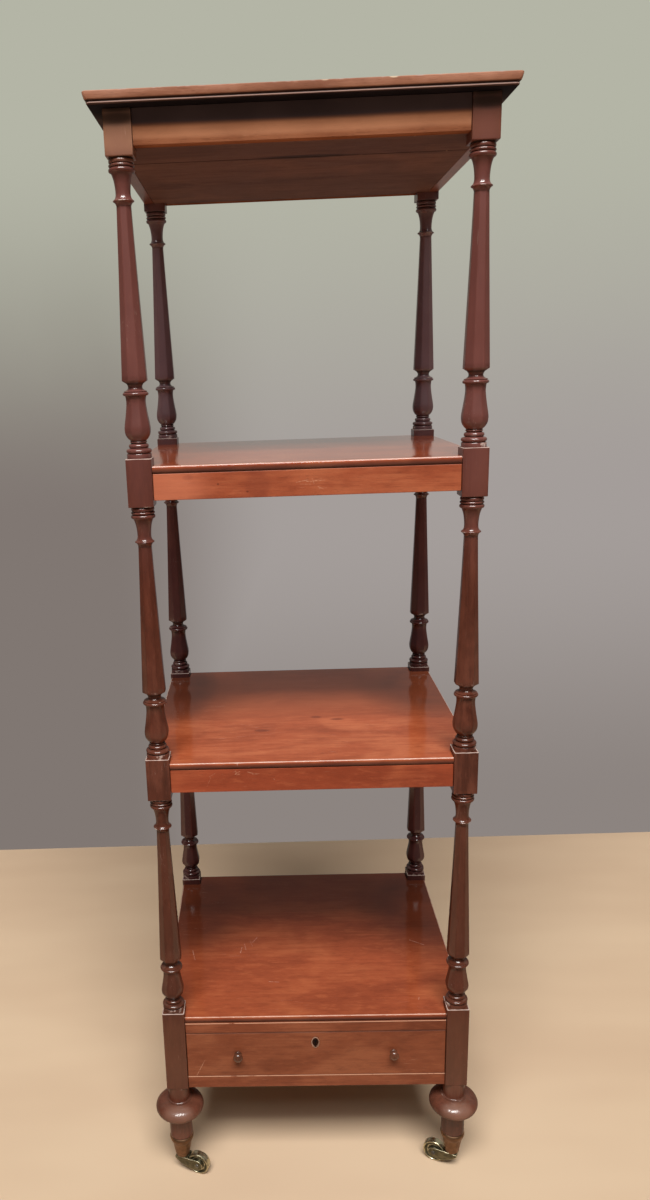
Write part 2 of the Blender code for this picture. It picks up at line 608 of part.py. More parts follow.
def drawer(woods, metals):
    """Dovetailed drawer with its knobs, lock and keyhole plate."""
    parent = pivot("drawer_slide", (0, RAIL_FRONT_Y, Z_OPENING))
    z_low = GAP
    z_high = drawer_top() - Z_OPENING
    half = CLEAR_X - DRAWER_SIDE_PLAY
    length = INNER_BACK_Y - DRAWER_BACK_ROOM - RAIL_FRONT_Y
    side_top = z_high - DRAWER_SIDE_DROP
    floor = z_low + DRAWER_BOTTOM_RISE
    groove = DRAWER_BOTTOM_T + 2 * GAP
    slots = bmesh.new()

    # Sides: dovetails drawn in profile, grooved for the bottom
    groove_tool = bmesh.new()
    inner = half - DRAWER_SIDE_T
    add_box(groove_tool, (-inner - GROOVE_DEPTH, DRAWER_FRONT_T - GROOVE_DEPTH, floor - GAP),
            (inner + GROOVE_DEPTH, length + OVERRUN, floor - GAP + groove))
    groove_cut = finish("groove_cut", groove_tool, woods["plain"], parent=parent)
    for side, sign in (("left", -1), ("right", 1)):
        bm = bmesh.new()
        outline = [(DRAWER_FRONT_T + GAP, side_top)]
        outline += [(DRAWER_FRONT_T + GAP + y, z) for y, z in tail_outline(z_low, side_top)]
        outline += [(DRAWER_FRONT_T + GAP, z_low), (length, z_low), (length, side_top)]
        extrude_outline(bm, outline, DRAWER_SIDE_T, 0)
        x = -half if sign < 0 else half - DRAWER_SIDE_T
        obj = finish("drawer_side_" + side, bm, woods["plain"], (x, 0, 0), parent)
        boolean(obj, groove_cut)
        # sockets in the front, one play wider than the tails all round
        pitch = (side_top - z_low) / TAIL_COUNT
        width = pitch * tail_width_share / 2 + GAP
        for i in range(TAIL_COUNT):
            middle = side_top - pitch * (i + 0.5)
            tail = bmesh.new()
            back = DRAWER_FRONT_T + OVERRUN
            deep = DRAWER_FRONT_T - TAIL_L
            slope = TAIL_FLARE / TAIL_L
            narrow = width - slope * (back - deep)
            extrude_outline(tail, ((deep, middle + width), (deep, middle - width),
                                   (back, middle - narrow), (back, middle + narrow)),
                            DRAWER_SIDE_T + GAP + OVERRUN, 0)
            shift = -half - OVERRUN if sign < 0 else half - DRAWER_SIDE_T - GAP
            bmesh.ops.translate(tail, verts=tail.verts, vec=(shift, 0, 0))
            mesh = bpy.data.meshes.new("socket")
            tail.to_mesh(mesh)
            tail.free()
            slots.from_mesh(mesh)
            bpy.data.meshes.remove(mesh)

    # Front: sockets, lock recess, keyhole and knob holes
    key_z = z_high - KEYHOLE_DROP
    knob_z = z_high - KNOB_DROP
    add_box(slots, (-LOCK_W / 2 - GAP, DRAWER_FRONT_T - LOCK_T - GAP, z_high - LOCK_H - GAP),
            (LOCK_W / 2 + GAP, DRAWER_FRONT_T + OVERRUN, z_high + OVERRUN))
    extrude_from(slots, keyhole_outline(key_z), -OVERRUN, DRAWER_FRONT_T)
    seat = escutcheon_outline(key_z, GAP)
    extrude_from(slots, seat, -OVERRUN, ESCUTCHEON_T - ESCUTCHEON_PROUD + GAP)
    for sign in (-1, 1):
        hole = [(sign * KNOB_SPAN / 2 + (KNOB_SHANK_R + GAP) * cos(2 * pi * k / KNOB_SIDES),
                 knob_z + (KNOB_SHANK_R + GAP) * sin(2 * pi * k / KNOB_SIDES))
                for k in range(KNOB_SIDES)]
        extrude_from(slots, hole, -OVERRUN, DRAWER_FRONT_T + OVERRUN)
    slot_cut = finish("drawer_front_cuts", slots, woods["plain"], parent=parent)
    bm = bmesh.new()
    add_box(bm, (-half, 0, z_low), (half, DRAWER_FRONT_T, z_high))
    front = finish("drawer_front", bm, woods["front"], parent=parent)
    boolean(front, groove_cut)
    boolean(front, slot_cut)

    # Back and bottom
    bm = bmesh.new()
    add_box(bm, (-inner + GAP, length - DRAWER_SIDE_T, floor + DRAWER_BOTTOM_T + GAP),
            (inner - GAP, length, side_top))
    finish("drawer_back", bm, woods["plain"], parent=parent)
    bm = bmesh.new()
    reach = inner + GROOVE_DEPTH - GAP
    add_box(bm, (-reach, DRAWER_FRONT_T - GROOVE_DEPTH + GAP, floor),
            (reach, length, floor + DRAWER_BOTTOM_T))
    finish("drawer_bottom", bm, woods["plain"], parent=parent)

    # Knobs, turned with a shank that passes through the front
    for side, sign in (("left", -1), ("right", 1)):
        bm = bmesh.new()
        end = DRAWER_FRONT_T + KNOB_SHANK_OUT
        loops = [ring(bm, KNOB_SIDES, KNOB_R * r, GAP + KNOB_L * h)
                 for h, r in reversed(knob_shares)]
        loops += [ring(bm, KNOB_SIDES, KNOB_SHANK_R, z) for z in (GAP, -end)]
        loft(bm, loops)
        finish("drawer_knob_" + side, bm, woods["knob"], (sign * KNOB_SPAN / 2, 0, knob_z),
               parent, (pi / 2, 0, 0), smooth=40)

    # Keyhole plate, let into the front
    bm = bmesh.new()
    outer = escutcheon_outline(key_z, 0)
    extrude_from(bm, outer, -ESCUTCHEON_PROUD, ESCUTCHEON_T - ESCUTCHEON_PROUD)
    plate = finish("escutcheon", bm, metals["brass"], parent=parent)
    key_tool = bmesh.new()
    extrude_from(key_tool, keyhole_outline(key_z), -OVERRUN, DRAWER_FRONT_T)
    key_cut = finish("keyhole_cut", key_tool, metals["brass"], parent=parent)
    boolean(plate, key_cut)

    # Lock case with the well that the bolt slides in
    bolt_y = DRAWER_FRONT_T - LOCK_T / 2
    bm = bmesh.new()
    add_box(bm, (-LOCK_W / 2, DRAWER_FRONT_T - LOCK_T, z_high - LOCK_H),
            (LOCK_W / 2, DRAWER_FRONT_T, z_high))
    case = finish("lock_case", bm, metals["brass"], parent=parent)
    tool = bmesh.new()
    add_box(tool, (-BOLT_W / 2 - GAP, bolt_y - BOLT_T / 2 - GAP, z_high - BOLT_H - GAP),
            (BOLT_W / 2 + GAP, bolt_y + BOLT_T / 2 + GAP, z_high + OVERRUN))
    boolean(case, finish("bolt_well_cut", tool, metals["brass"], parent=parent))
    bm = bmesh.new()
    add_box(bm, (-BOLT_W / 2, -BOLT_T / 2, -BOLT_H), (BOLT_W / 2, BOLT_T / 2, 0))
    finish("lock_bolt", bm, metals["steel"], (0, bolt_y, z_high), parent)


def extrude_from(bm, outline, start, end):
    """Extrude an outline of (x, z) points along Y between two depths, into an open bmesh."""
    count = len(bm.verts)
    extrude_outline(bm, outline, end - start, 1)
    bm.verts.ensure_lookup_table()
    bmesh.ops.translate(bm, verts=bm.verts[count:], vec=(0, start, 0))


def escutcheon_outline(key_z, grow):
    """Oval plate, longer below the keyhole."""
    steps = ESCUTCHEON_STEPS
    return [((ESCUTCHEON_W / 2 + grow) * cos(2 * pi * k / steps),
             key_z + (ESCUTCHEON_H / 2 + grow) * sin(2 * pi * k / steps)) for k in range(steps)]


def keyhole_outline(key_z):
    """Round eye over a narrow slot."""
    radius = KEYHOLE_R
    half = KEYHOLE_SLOT_W / 2
    eye = key_z + radius
    start = pi / 2 - pi / 6
    steps = 8
    points = []
    for k in range(steps + 1):
        angle = -start + (pi + 2 * start) * k / steps
        points.append((radius * cos(angle), eye + radius * sin(angle)))
    points.append((-half, key_z - KEYHOLE_SLOT_L))
    points.append((half, key_z - KEYHOLE_SLOT_L))
    return points


def cup(name, location, mat):
    """Tapered brass cup over the end of the leg, with a hole for the spindle."""
    bm = bmesh.new()
    floor = CUP_BOTTOM_Z + CUP_FLOOR
    bore = SPINDLE_R + GAP
    outline = [(cup_inner_radius(CUP_TOP_Z), CUP_TOP_Z), (cup_inner_radius(floor), floor),
               (bore, floor), (bore, CUP_BOTTOM_Z),
               (CUP_BOTTOM_R - CUP_CORNER, CUP_BOTTOM_Z),
               (CUP_BOTTOM_R, CUP_BOTTOM_Z + CUP_CORNER)]
    for fall, share in reversed(cup_swell_shares):
        z = between(CUP_TOP_Z, CUP_BOTTOM_Z, fall)
        outline.append((cup_radius(z) + CUP_SWELL * share, z))
    outline.append((CUP_TOP_R, CUP_TOP_Z))
    lathe(bm, outline, CUP_SIDES)
    return finish(name, bm, mat, location, smooth=32)


def horn(name, parent, mat):
    """Forked horn that swivels under the cup, its riveted spindle turned on top."""
    plate_top = CUP_BOTTOM_Z - GAP
    plate_low = plate_top - HORN_PLATE_T
    width = WHEEL_W + 2 * (FORK_SIDE_PLAY + FORK_CHEEK)
    outline = [(-HORN_PLATE_R, plate_top)]
    outline += [(HORN_PLATE_R * out, between(plate_low, HORN_BELLY_Z, down))
                for out, down in horn_nose_shares]
    outline.append((TRAIL - FORK_END_R, HORN_BELLY_Z))
    for k in range(FORK_END_STEPS + 1):
        angle = -pi / 2 + pi * k / FORK_END_STEPS
        outline.append((TRAIL + FORK_END_R * cos(angle), WHEEL_R + FORK_END_R * sin(angle)))
    outline += [(HORN_PLATE_R, plate_top)]
    bm = bmesh.new()
    extrude_from(bm, outline, -width / 2, width / 2)
    body = finish(name, bm, mat, parent=parent, smooth=32)

    tool = bmesh.new()
    slot = (WHEEL_W + 2 * FORK_SIDE_PLAY) / 2
    step = pi / WHEEL_SIDES
    radius = WHEEL_R / cos(step) + FORK_PLAY
    loft(tool, [ring(tool, WHEEL_SIDES, radius / cos(step), z, step) for z in (slot, -slot)])
    bmesh.ops.rotate(tool, verts=tool.verts, matrix=Matrix.Rotation(pi / 2, 3, "X"))
    bmesh.ops.translate(tool, verts=tool.verts, vec=(TRAIL, 0, WHEEL_R))
    bore = bmesh.new()
    loft(bore, [ring(bore, PIN_SIDES, AXLE_R + GAP, z) for z in (width, -width)])
    bmesh.ops.rotate(bore, verts=bore.verts, matrix=Matrix.Rotation(pi / 2, 3, "X"))
    bmesh.ops.translate(bore, verts=bore.verts, vec=(TRAIL, 0, WHEEL_R))
    boolean(body, finish(name + "_wheel_cut", tool, mat, parent=parent))
    boolean(body, finish(name + "_axle_cut", bore, mat, parent=parent))

    spindle = bmesh.new()
    seat = CUP_BOTTOM_Z + CUP_FLOOR + GAP
    outline = [(SPINDLE_HEAD_R, seat + SPINDLE_HEAD_H), (SPINDLE_HEAD_R, seat),
               (SPINDLE_R, seat), (SPINDLE_R, between(plate_low, plate_top, spindle_root_share))]
    loft(spindle, [ring(spindle, PIN_SIDES, r, z) for r, z in outline])
    boolean(body, finish(name + "_spindle", spindle, mat, parent=parent), "UNION")
    return body


def wheel(name, parent, mat):
    """Brass wheel with a dished face and a rim; a flat of its outline meets the floor."""
    half = WHEEL_W / 2
    web = half - WHEEL_DISH
    rim = WHEEL_R - WHEEL_RIM
    bore = AXLE_R + GAP
    side = [(WHEEL_R, half - WHEEL_ROUND), (WHEEL_R - WHEEL_ROUND, half), (rim, half),
            (rim - WHEEL_SLOPE, web), (WHEEL_HUB_R, web), (WHEEL_HUB_R, half), (bore, half)]
    outline = [(r, -z) for r, z in side] + [(r, z) for r, z in reversed(side)]
    bm = bmesh.new()
    step = pi / WHEEL_SIDES
    loops = [ring(bm, WHEEL_SIDES, r / cos(step), z, step) for r, z in outline]
    for upper, lower in zip(loops, loops[1:] + loops[:1]):
        stitch(bm, upper, lower)
    return finish(name, bm, mat, parent=parent, rotation=(pi / 2, 0, 0), smooth=32)


def axle(name, parent, mat):
    """Riveted wheel pin, headed on both cheeks of the horn."""
    half = WHEEL_W / 2 + FORK_SIDE_PLAY + FORK_CHEEK + GAP
    head = half + AXLE_HEAD_H
    outline = [(AXLE_HEAD_R, -head), (AXLE_HEAD_R, -half), (AXLE_R, -half)]
    outline += [(r, -z) for r, z in reversed(outline)]
    bm = bmesh.new()
    loft(bm, [ring(bm, PIN_SIDES, r, z) for r, z in reversed(outline)])
    return finish(name, bm, mat, parent=parent, rotation=(pi / 2, 0, 0), smooth=32)


def castor(corner, metals):
    x, y = CORNERS[corner]
    swivel = pivot(corner + "_swivel", (x, y, 0), radians(swivel_degrees[corner]))
    spin = pivot(corner + "_spin", (TRAIL, 0, WHEEL_R))
    spin.parent = swivel
    cup(corner + "_castor_cup", (x, y, 0), metals["cup"])
    horn(corner + "_castor_horn", swivel, metals["brass"])
    wheel(corner + "_castor_wheel", spin, metals["brass"])
    axle(corner + "_castor_axle", spin, metals["steel"])


def soffit(notches, mat):
    """Two boards let in between the rails under the top, flush with their lower edges."""
    x = INNER_SIDE_X - GAP
    front = RAIL_FRONT_Y + RAIL_T + GAP
    joint = front + SOFFIT_FRONT_D
    runs = {"soffit_front_board": (front, joint),
            "soffit_back_board": (joint + SOFFIT_JOINT, INNER_BACK_Y - GAP)}
    for name, (low, high) in runs.items():
        obj = box(name, (-x, low, Z_FRIEZE), (x, high, Z_FRIEZE + SOFFIT_T), mat)
        boolean(obj, notches)


def build():
    clear_scene()
    post_wood = material("post_mahogany", (0.115, 0.032, 0.022), 0.32)
    rail_wood = material("rail_mahogany", (0.33, 0.105, 0.05), 0.36)
    board_wood = material("board_mahogany", (0.24, 0.068, 0.036), 0.28)
    front_wood = material("drawer_mahogany", (0.2, 0.055, 0.028), 0.34)
    top_wood = material("top_mahogany", (0.26, 0.09, 0.055), 0.3)
    plain_wood = material("drawer_pine", (0.42, 0.27, 0.14), 0.6)
    knob_wood = material("knob_mahogany", (0.13, 0.04, 0.025), 0.25)
    brass = material("aged_brass", (0.14, 0.125, 0.07), 0.42, 1.0)
    cup_brass = material("brown_brass", (0.2, 0.09, 0.045), 0.45, 1.0)
    steel = material("steel", (0.42, 0.4, 0.37), 0.4, 1.0)
    woods = {"plain": plain_wood, "front": front_wood, "knob": knob_wood}
    metals = {"brass": brass, "cup": cup_brass, "steel": steel}

    # Notches for the posts, shared by the boards that pass round them
    bm = bmesh.new()
    reach = HALF_BLOCK + GAP
    for x, y in CORNERS.values():
        add_box(bm, (x - reach, y - reach, LEG_CLEARANCE - OVERRUN),
                (x + reach, y + reach, Z_TOP_BOARD + OVERRUN))
    notches = finish("post_notches", bm, post_wood)

    cuts = bmesh.new()
    rail_frame("frieze", Z_FRIEZE, FRIEZE_H, cuts, rail_wood)
    rail_frame("upper_shelf", Z_RAIL_2, SHELF_RAIL_H, cuts, rail_wood)
    rail_frame("lower_shelf", Z_RAIL_3, SHELF_RAIL_H, cuts, rail_wood)
    pieces = carcase(cuts, notches, rail_wood, plain_wood)
    mortises = finish("mortises", cuts, post_wood)
    for corner in CORNERS:
        post(corner + "_post", corner, mortises, post_wood)

    # Keeper for the lock bolt, cut up into the rail over the drawer
    bolt_y = RAIL_FRONT_Y + DRAWER_FRONT_T - LOCK_T / 2
    bm = bmesh.new()
    add_box(bm, (-BOLT_W / 2 - GAP, bolt_y - BOLT_T / 2 - GAP, Z_UPPER_RAIL - OVERRUN),
            (BOLT_W / 2 + GAP, bolt_y + BOLT_T / 2 + GAP, Z_UPPER_RAIL + BOLT_TRAVEL + GAP))
    boolean(pieces["base_upper_rail"], finish("keeper_cut", bm, steel))

    moulded_top("top_board", top_wood)
    soffit(notches, board_wood)
    shelf_board("upper_shelf_board", Z_BOARD_2, notches, board_wood)
    shelf_board("lower_shelf_board", Z_BOARD_3, notches, board_wood)
    shelf_board("base_board", Z_BASE_BOARD, notches, board_wood)
    drawer(woods, metals)
    for corner in CORNERS:
        castor(corner, metals)


build()
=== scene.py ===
"""Looks of the four-tier mahogany whatnot: turned posts, mouldings, castors and finishes."""
import bmesh
import bpy
from math import acos, cos, hypot, pi, radians, sin, sqrt
from mathutils import Matrix, Vector


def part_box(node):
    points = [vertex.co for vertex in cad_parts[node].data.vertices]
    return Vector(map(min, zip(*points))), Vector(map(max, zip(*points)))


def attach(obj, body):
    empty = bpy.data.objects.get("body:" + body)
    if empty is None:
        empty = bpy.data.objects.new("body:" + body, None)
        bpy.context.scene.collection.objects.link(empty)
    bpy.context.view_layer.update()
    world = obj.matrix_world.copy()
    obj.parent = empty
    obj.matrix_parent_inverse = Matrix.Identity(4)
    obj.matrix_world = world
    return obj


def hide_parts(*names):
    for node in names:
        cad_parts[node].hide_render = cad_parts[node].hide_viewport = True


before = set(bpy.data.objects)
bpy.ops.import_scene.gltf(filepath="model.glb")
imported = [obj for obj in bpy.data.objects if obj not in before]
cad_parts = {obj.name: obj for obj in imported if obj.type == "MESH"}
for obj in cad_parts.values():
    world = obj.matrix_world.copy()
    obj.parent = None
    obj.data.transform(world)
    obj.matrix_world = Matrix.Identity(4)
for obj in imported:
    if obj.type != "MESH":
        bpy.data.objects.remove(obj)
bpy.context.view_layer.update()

MM = 0.001
GAP = 0.3 * MM
CORNERS = ("front_left", "front_right", "rear_left", "rear_right")
TINY = 0.01 * MM

# Sizes and heights of the posts in millimetres, as in the part
BLOCK = 32
LEG_CLEARANCE = 157.5
STAGE_H = 337.4
BLOCK_TOPS = (1467.1, 1081.3, 684.3, 287.3)
BLOCK_FOOTS = (1418.7, 1021.7, 624.7, LEG_CLEARANCE)
TAPER_LENGTHS = (197.4, 197.4, 205.2)

# Facets round a turned piece
POST_SIDES = 96
CASTOR_SIDES = 64
KNOB_SIDES = 48
PIN_SIDES = 24

# How far the corners of square and eight-sided rows stand out, as a share of their flats
SQUARE_CORNER = 1.39
FACET_CORNER = 1.07

# The castors' horns, in millimetres
HORN_HALF = 8.5
HORN_EYE = 8.4
AXLE_HEIGHT = 17
SLOT_RADIUS = 18.1
SLOT_WIDTH = 11.8

# Angles in degrees from which an edge is an arris, or is shaded as one
TURNED_ARRIS = 38
JOINED_ARRIS = 25
CAST_ARRIS = 40
PLATE_ARRIS = 40
SHADED_ARRIS = 30


def middle(node):
    low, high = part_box(node)
    return (Vector(low) + Vector(high)) / 2


def as_object(name, mesh, mat=None):
    """Put a mesh, a lamp or a camera into the scene."""
    if mat:
        mesh.materials.append(mat)
    piece = bpy.data.objects.new(name, mesh)
    bpy.context.collection.objects.link(piece)
    return piece


def finished_mesh(piece, *spares):
    """The mesh that a piece's modifiers make; the piece itself goes."""
    graph = bpy.context.evaluated_depsgraph_get()
    solid = bpy.data.meshes.new_from_object(piece.evaluated_get(graph))
    for spare in (piece, *spares):
        bpy.data.objects.remove(spare, do_unlink=True)
    return solid


def merged_copy(mesh):
    """A mesh to work on, with its doubles merged."""
    bm = bmesh.new()
    bm.from_mesh(mesh)
    bmesh.ops.remove_doubles(bm, verts=bm.verts, dist=TINY)
    return bm


def ease_edges(bm, edges, width, segments):
    """Bevel edges and return the faces that this makes."""
    return bmesh.ops.bevel(bm, geom=edges, offset=width, offset_type="OFFSET",
                           segments=segments, profile=0.5, affect="EDGES",
                           clamp_overlap=True)["faces"]


def keen_edges(bm, least_angle):
    """Outer edges that turn by more than an angle in degrees."""
    return [edge for edge in bm.edges if edge.is_manifold and edge.is_convex
            and edge.calc_face_angle(0) > radians(least_angle)]


# Node trees: arithmetic on a Line adds the maths nodes behind it

def operator(operation, turned_round=False):
    """A method that puts one maths node behind a Line."""
    def method(self, *others):
        values = [*others, self] if turned_round else [self, *others]
        return self.bench.node("ShaderNodeMath", {"operation": operation}, values)
    return method


class Line:
    """A value that runs through a node tree."""

    __add__ = __radd__ = operator("ADD")
    __sub__ = operator("SUBTRACT")
    __rsub__ = operator("SUBTRACT", turned_round=True)
    __mul__ = __rmul__ = operator("MULTIPLY")
    __truediv__ = operator("DIVIDE")
    __rtruediv__ = operator("DIVIDE", turned_round=True)
    __mod__ = operator("FLOORED_MODULO")
    __pow__ = operator("POWER")
    __abs__ = operator("ABSOLUTE")
    floored = operator("FLOOR")
    cosine = operator("COSINE")
    sine = operator("SINE")
    lowest = operator("MINIMUM")
    highest = operator("MAXIMUM")

    def __init__(self, bench, socket):
        self.bench = bench
        self.socket = socket

    def ease(self, start, end):
        """0 at start, 1 at end, with a soft shoulder at both."""
        return self.bench.node("ShaderNodeMapRange", {"interpolation_type": "SMOOTHSTEP"},
                               {"Value": self, "From Min": start, "From Max": end})


class Bench:
    """Makes the nodes of one tree."""

    def __init__(self, tree):
        self.tree = tree

    def node(self, kind, settings=None, values=None, output=0):
        made = self.tree.nodes.new(kind)
        for key, setting in (settings or {}).items():
            setattr(made, key, setting)
        pairs = values.items() if isinstance(values, dict) else enumerate(values or ())
        for key, value in pairs:
            if isinstance(value, Line):
                self.tree.links.new(value.socket, made.inputs[key])
            else:
                made.inputs[key].default_value = value
        return Line(self, made.outputs[output])

    def spot(self):
        """Where a point lies on its own object."""
        return self.node("ShaderNodeTexCoord", output="Object")

    def axes(self, place):
        """X, Y and Z of a place."""
        split = self.node("ShaderNodeSeparateXYZ", None, [place]).socket.node
        return [Line(self, socket) for socket in split.outputs]

    def given(self, name):
        """A value that the mesh carries."""
        return self.node("ShaderNodeAttribute", {"attribute_name": name}, output="Fac")

    def principled(self, values):
        return self.node("ShaderNodeBsdfPrincipled", None, values)

    def bump(self, strength, distance, height):
        return self.node("ShaderNodeBump", None,
                         {"Strength": strength, "Distance": distance, "Height": height})

    def vector(self, operation, *values, output=0):
        return self.node("ShaderNodeVectorMath", {"operation": operation}, values, output)

    def blend(self, share, first, second, kind="MIX"):
        """Mix two colours."""
        return self.node("ShaderNodeMix", {"data_type": "RGBA", "blend_type": kind},
                         {0: share, 6: first, 7: second}, 2)

    def noise(self, place, cell, detail=2.0, roughness=0.5, twist=0.0):
        """Noise with cells of `cell` millimetres, alike or one measure for each axis."""
        sizes = cell if isinstance(cell, tuple) else (cell,) * 3
        scaled = self.vector("MULTIPLY", place, tuple(1 / (size * MM) for size in sizes))
        return self.node("ShaderNodeTexNoise", None,
                         {"Vector": scaled, "Scale": 1.0, "Detail": detail,
                          "Roughness": roughness, "Distortion": twist})


def tone(red, green, blue):
    """A colour in screen values of 0 to 255, turned to linear light."""
    def linear(part):
        share = part / 255
        return share / 12.92 if share <= 0.04045 else ((share + 0.055) / 1.055) ** 2.4
    return (linear(red), linear(green), linear(blue), 1.0)


# Finishes

TURNS = {"x": (0, 0, 0), "y": (0, 0, -pi / 2), "z": (0, pi / 2, 0)}


def new_finish(name):
    mat = bpy.data.materials.new(name)
    mat.use_nodes = True
    mat.node_tree.nodes.clear()
    return mat, Bench(mat.node_tree)


def close_finish(bench, shader):
    out = bench.tree.nodes.new("ShaderNodeOutputMaterial")
    bench.tree.links.new(shader.socket, out.inputs["Surface"])


def stroke(bench, place, start, end, width):
    """Mask of a straight scratch between two points."""
    start, end = Vector(start), Vector(end)
    run = end - start
    from_start = bench.vector("SUBTRACT", place, tuple(start))
    share = bench.vector("DOT_PRODUCT", from_start, tuple(run / run.length_squared), output=1)
    share = bench.node("ShaderNodeClamp", None, [share])
    nearest = bench.vector("SCALE", tuple(run))
    bench.tree.links.new(share.socket, nearest.socket.node.inputs["Scale"])
    away = bench.vector("DISTANCE", from_start, nearest, output=1)
    return away.ease(width, width * 0.35)


def patch(bench, place, centre, reach):
    """Mask of a soft oval patch."""
    moved = bench.vector("SUBTRACT", place, tuple(centre))
    scaled = bench.vector("MULTIPLY", moved, tuple(1 / size for size in reach))
    return bench.vector("LENGTH", scaled, output=1).ease(1.0, 0.45)


def mahogany(name, along, deep, body, pale, gloss=0.3, wear=0.5, scratches=(), tones_and_painted_light=(),
             painted_shade=(), figure=0.6, worn_tone=(206, 158, 130), coat=0.25,
             sheen=0.3, shine=0.12, relief_share=0.35, film=1.32, wrinkled=None,
             dust_and_shade=((50, 40, 38), (64, 50, 46)), dulled=0.0):
    """Polished mahogany with its grain running along one axis."""
    mat, bench = new_finish(name)
    place = bench.spot()
    laid = bench.node("ShaderNodeMapping", None, {"Vector": place, "Rotation": TURNS[along]})
    broad = bench.noise(laid, (230, 60, 60), 3.0, 0.55, 0.9)
    cloud = bench.noise(laid, (95, 60, 60), 2.0, 0.5, 0.6)
    streak = bench.noise(laid, (150, 5, 5), 4.0, 0.6, 0.4)
    fibre = bench.noise(laid, (34, 1.3, 1.3), 3.0, 0.6)
    pore = bench.noise(laid, (11, 0.55, 0.55), 1.0)
    mottle = bench.noise(laid, (28, 8, 8), 3.0, 0.65)

    dark = tone(*(part * 0.45 for part in deep))
    deep, body, pale, worn = (tone(*shade) for shade in (deep, body, pale, worn_tone))
    pored = pore.ease(0.6, 0.74)
    wood = bench.blend(broad.ease(0.56, 0.32) * figure, body, deep)
    wood = bench.blend((cloud * 0.7 + streak * 0.3).ease(0.46, 0.66) * 0.6, wood, pale)
    wood = bench.blend(streak.ease(0.5, 0.3) * 0.4 * figure, wood, deep)
    wood = bench.blend(fibre.ease(0.56, 0.76) * 0.16, wood, deep)
    wood = bench.blend(mottle.ease(0.5, 0.7) * 0.3, wood, deep)
    wood = bench.blend(mottle.ease(0.48, 0.3) * 0.35, wood, pale)
    wood = bench.blend(pored * 0.3, wood, dark)
    # Patches of tone: stains and marks, and also painted light, painted highlights and painted
    # shade
    for centre, reach, colour, share in tones_and_painted_light:
        mask = patch(bench, place, centre, reach) * (cloud * 0.7 + 0.65)
        wood = bench.blend(mask * share, wood, tone(*colour))

    # Hollows darken to a dull finish; undersides and lower faces take it as painted shade, and so
    # do the patches of painted shade under overhangs and in gaps
    hollow = bench.given("grime")
    grime_and_shade = hollow.ease(0.1, 0.9) * 0.85
    for centre, reach, share in painted_shade:
        grime_and_shade = grime_and_shade.highest(patch(bench, place, centre, reach) * share)

    # Rubbed arrises: polish gone, wood bleached; on the shelf nosings and the top's fillet this
    # also paints a highlight
    arris = bench.given("arris")
    rub = bench.noise(place, 17, 4.0, 0.65)
    keen = (arris - 1).highest(0) * 0.3
    rubbed = arris.ease(0.45, 0.95) * (rub + keen).ease(0.66 - 0.3 * wear, 0.8 - 0.3 * wear)
    wood = bench.blend(rubbed * 0.8, wood, worn)

    # Fine scuffs, short and nearly in line with the grain
    scuff = bench.noise(laid, (26, 0.7, 0.7), 1.0, 0.5, 1.4)
    where = bench.noise(place, 70, 2.0)
    scuffed = scuff.ease(0.71, 0.76) * where.ease(0.5, 0.66) * 0.35
    wood = bench.blend(scuffed, wood, worn)
    marked = rubbed * 0.5 + scuffed
    if scratches:
        broken = bench.noise(place, 3, 3.0, 0.7).ease(0.34, 0.6)
        lines = None
        for start, end, width, share in scratches:
            line = stroke(bench, place, start, end, width) * share
            lines = line if lines is None else lines.highest(line)
        lines = lines * broken
        wood = bench.blend(lines, wood, worn)
        marked = marked + lines * 0.5

    rough = gloss + (cloud - 0.5) * 0.12 + marked * 0.25 + pored * 0.1
    ripple = bench.noise(place, 5.5, 2.0, 0.6)
    relief = fibre * 0.4 + ripple * 0.9 - pored * 0.3 - marked * 0.3
    varnish = coat
    if dulled:
        slant = bench.node("ShaderNodeLayerWeight", None, {"Blend": 0.5}, "Facing")
        varnish = (1 - slant.ease(0.2, 0.6) * dulled) * coat
    if wrinkled:
        crazed = bench.noise(place, 2.4, 3.0, 0.7)
        where = patch(bench, place, *wrinkled)
        relief = relief + crazed * where * 30
        varnish = varnish * (1 - crazed.ease(0.56, 0.46) * where * 0.9)
    bump = bench.bump(relief_share, 0.25 * MM, relief)
    polish = bench.principled({
        "Base Color": wood, "Roughness": rough, "Normal": bump, "Specular IOR Level": sheen,
        "Coat Weight": varnish, "Coat Roughness": shine, "Coat IOR": film})
    # The dull finish's colour: dust in the hollows, the colour of painted shade where it paints
    # shade
    dirt_tone = bench.blend(cloud.ease(0.3, 0.7), tone(*dust_and_shade[0]), tone(*dust_and_shade[1]))
    dirt_and_shade = bench.principled({
        "Base Color": dirt_tone, "Roughness": 0.85, "Normal": bump, "Specular IOR Level": 0.1})
    close_finish(bench, bench.node("ShaderNodeMixShader", None, [grime_and_shade, polish, dirt_and_shade]))
    return mat


def bare_pine(name):
    """Dry secondary wood of the drawer's inside."""
    mat, bench = new_finish(name)
    place = bench.spot()
    laid = bench.node("ShaderNodeMapping", None, {"Vector": place, "Rotation": TURNS["y"]})
    ring = bench.noise(laid, (420, 14, 14), 3.0, 0.5, 0.8)
    fibre = bench.noise(laid, (30, 1.2, 1.2), 3.0, 0.6)
    grime = bench.noise(place, 60, 4.0, 0.6)
    wood = bench.blend(ring.ease(0.35, 0.65), tone(118, 82, 54), tone(152, 114, 76))
    wood = bench.blend(fibre.ease(0.5, 0.8) * 0.35, wood, tone(88, 58, 38))
    wood = bench.blend(grime.ease(0.5, 0.75) * 0.4, wood, tone(72, 50, 34))
    bump = bench.bump(0.4, 0.2 * MM, fibre)
    close_finish(bench, bench.principled({
        "Base Color": wood, "Roughness": 0.62 + grime * 0.2, "Normal": bump}))
    return mat


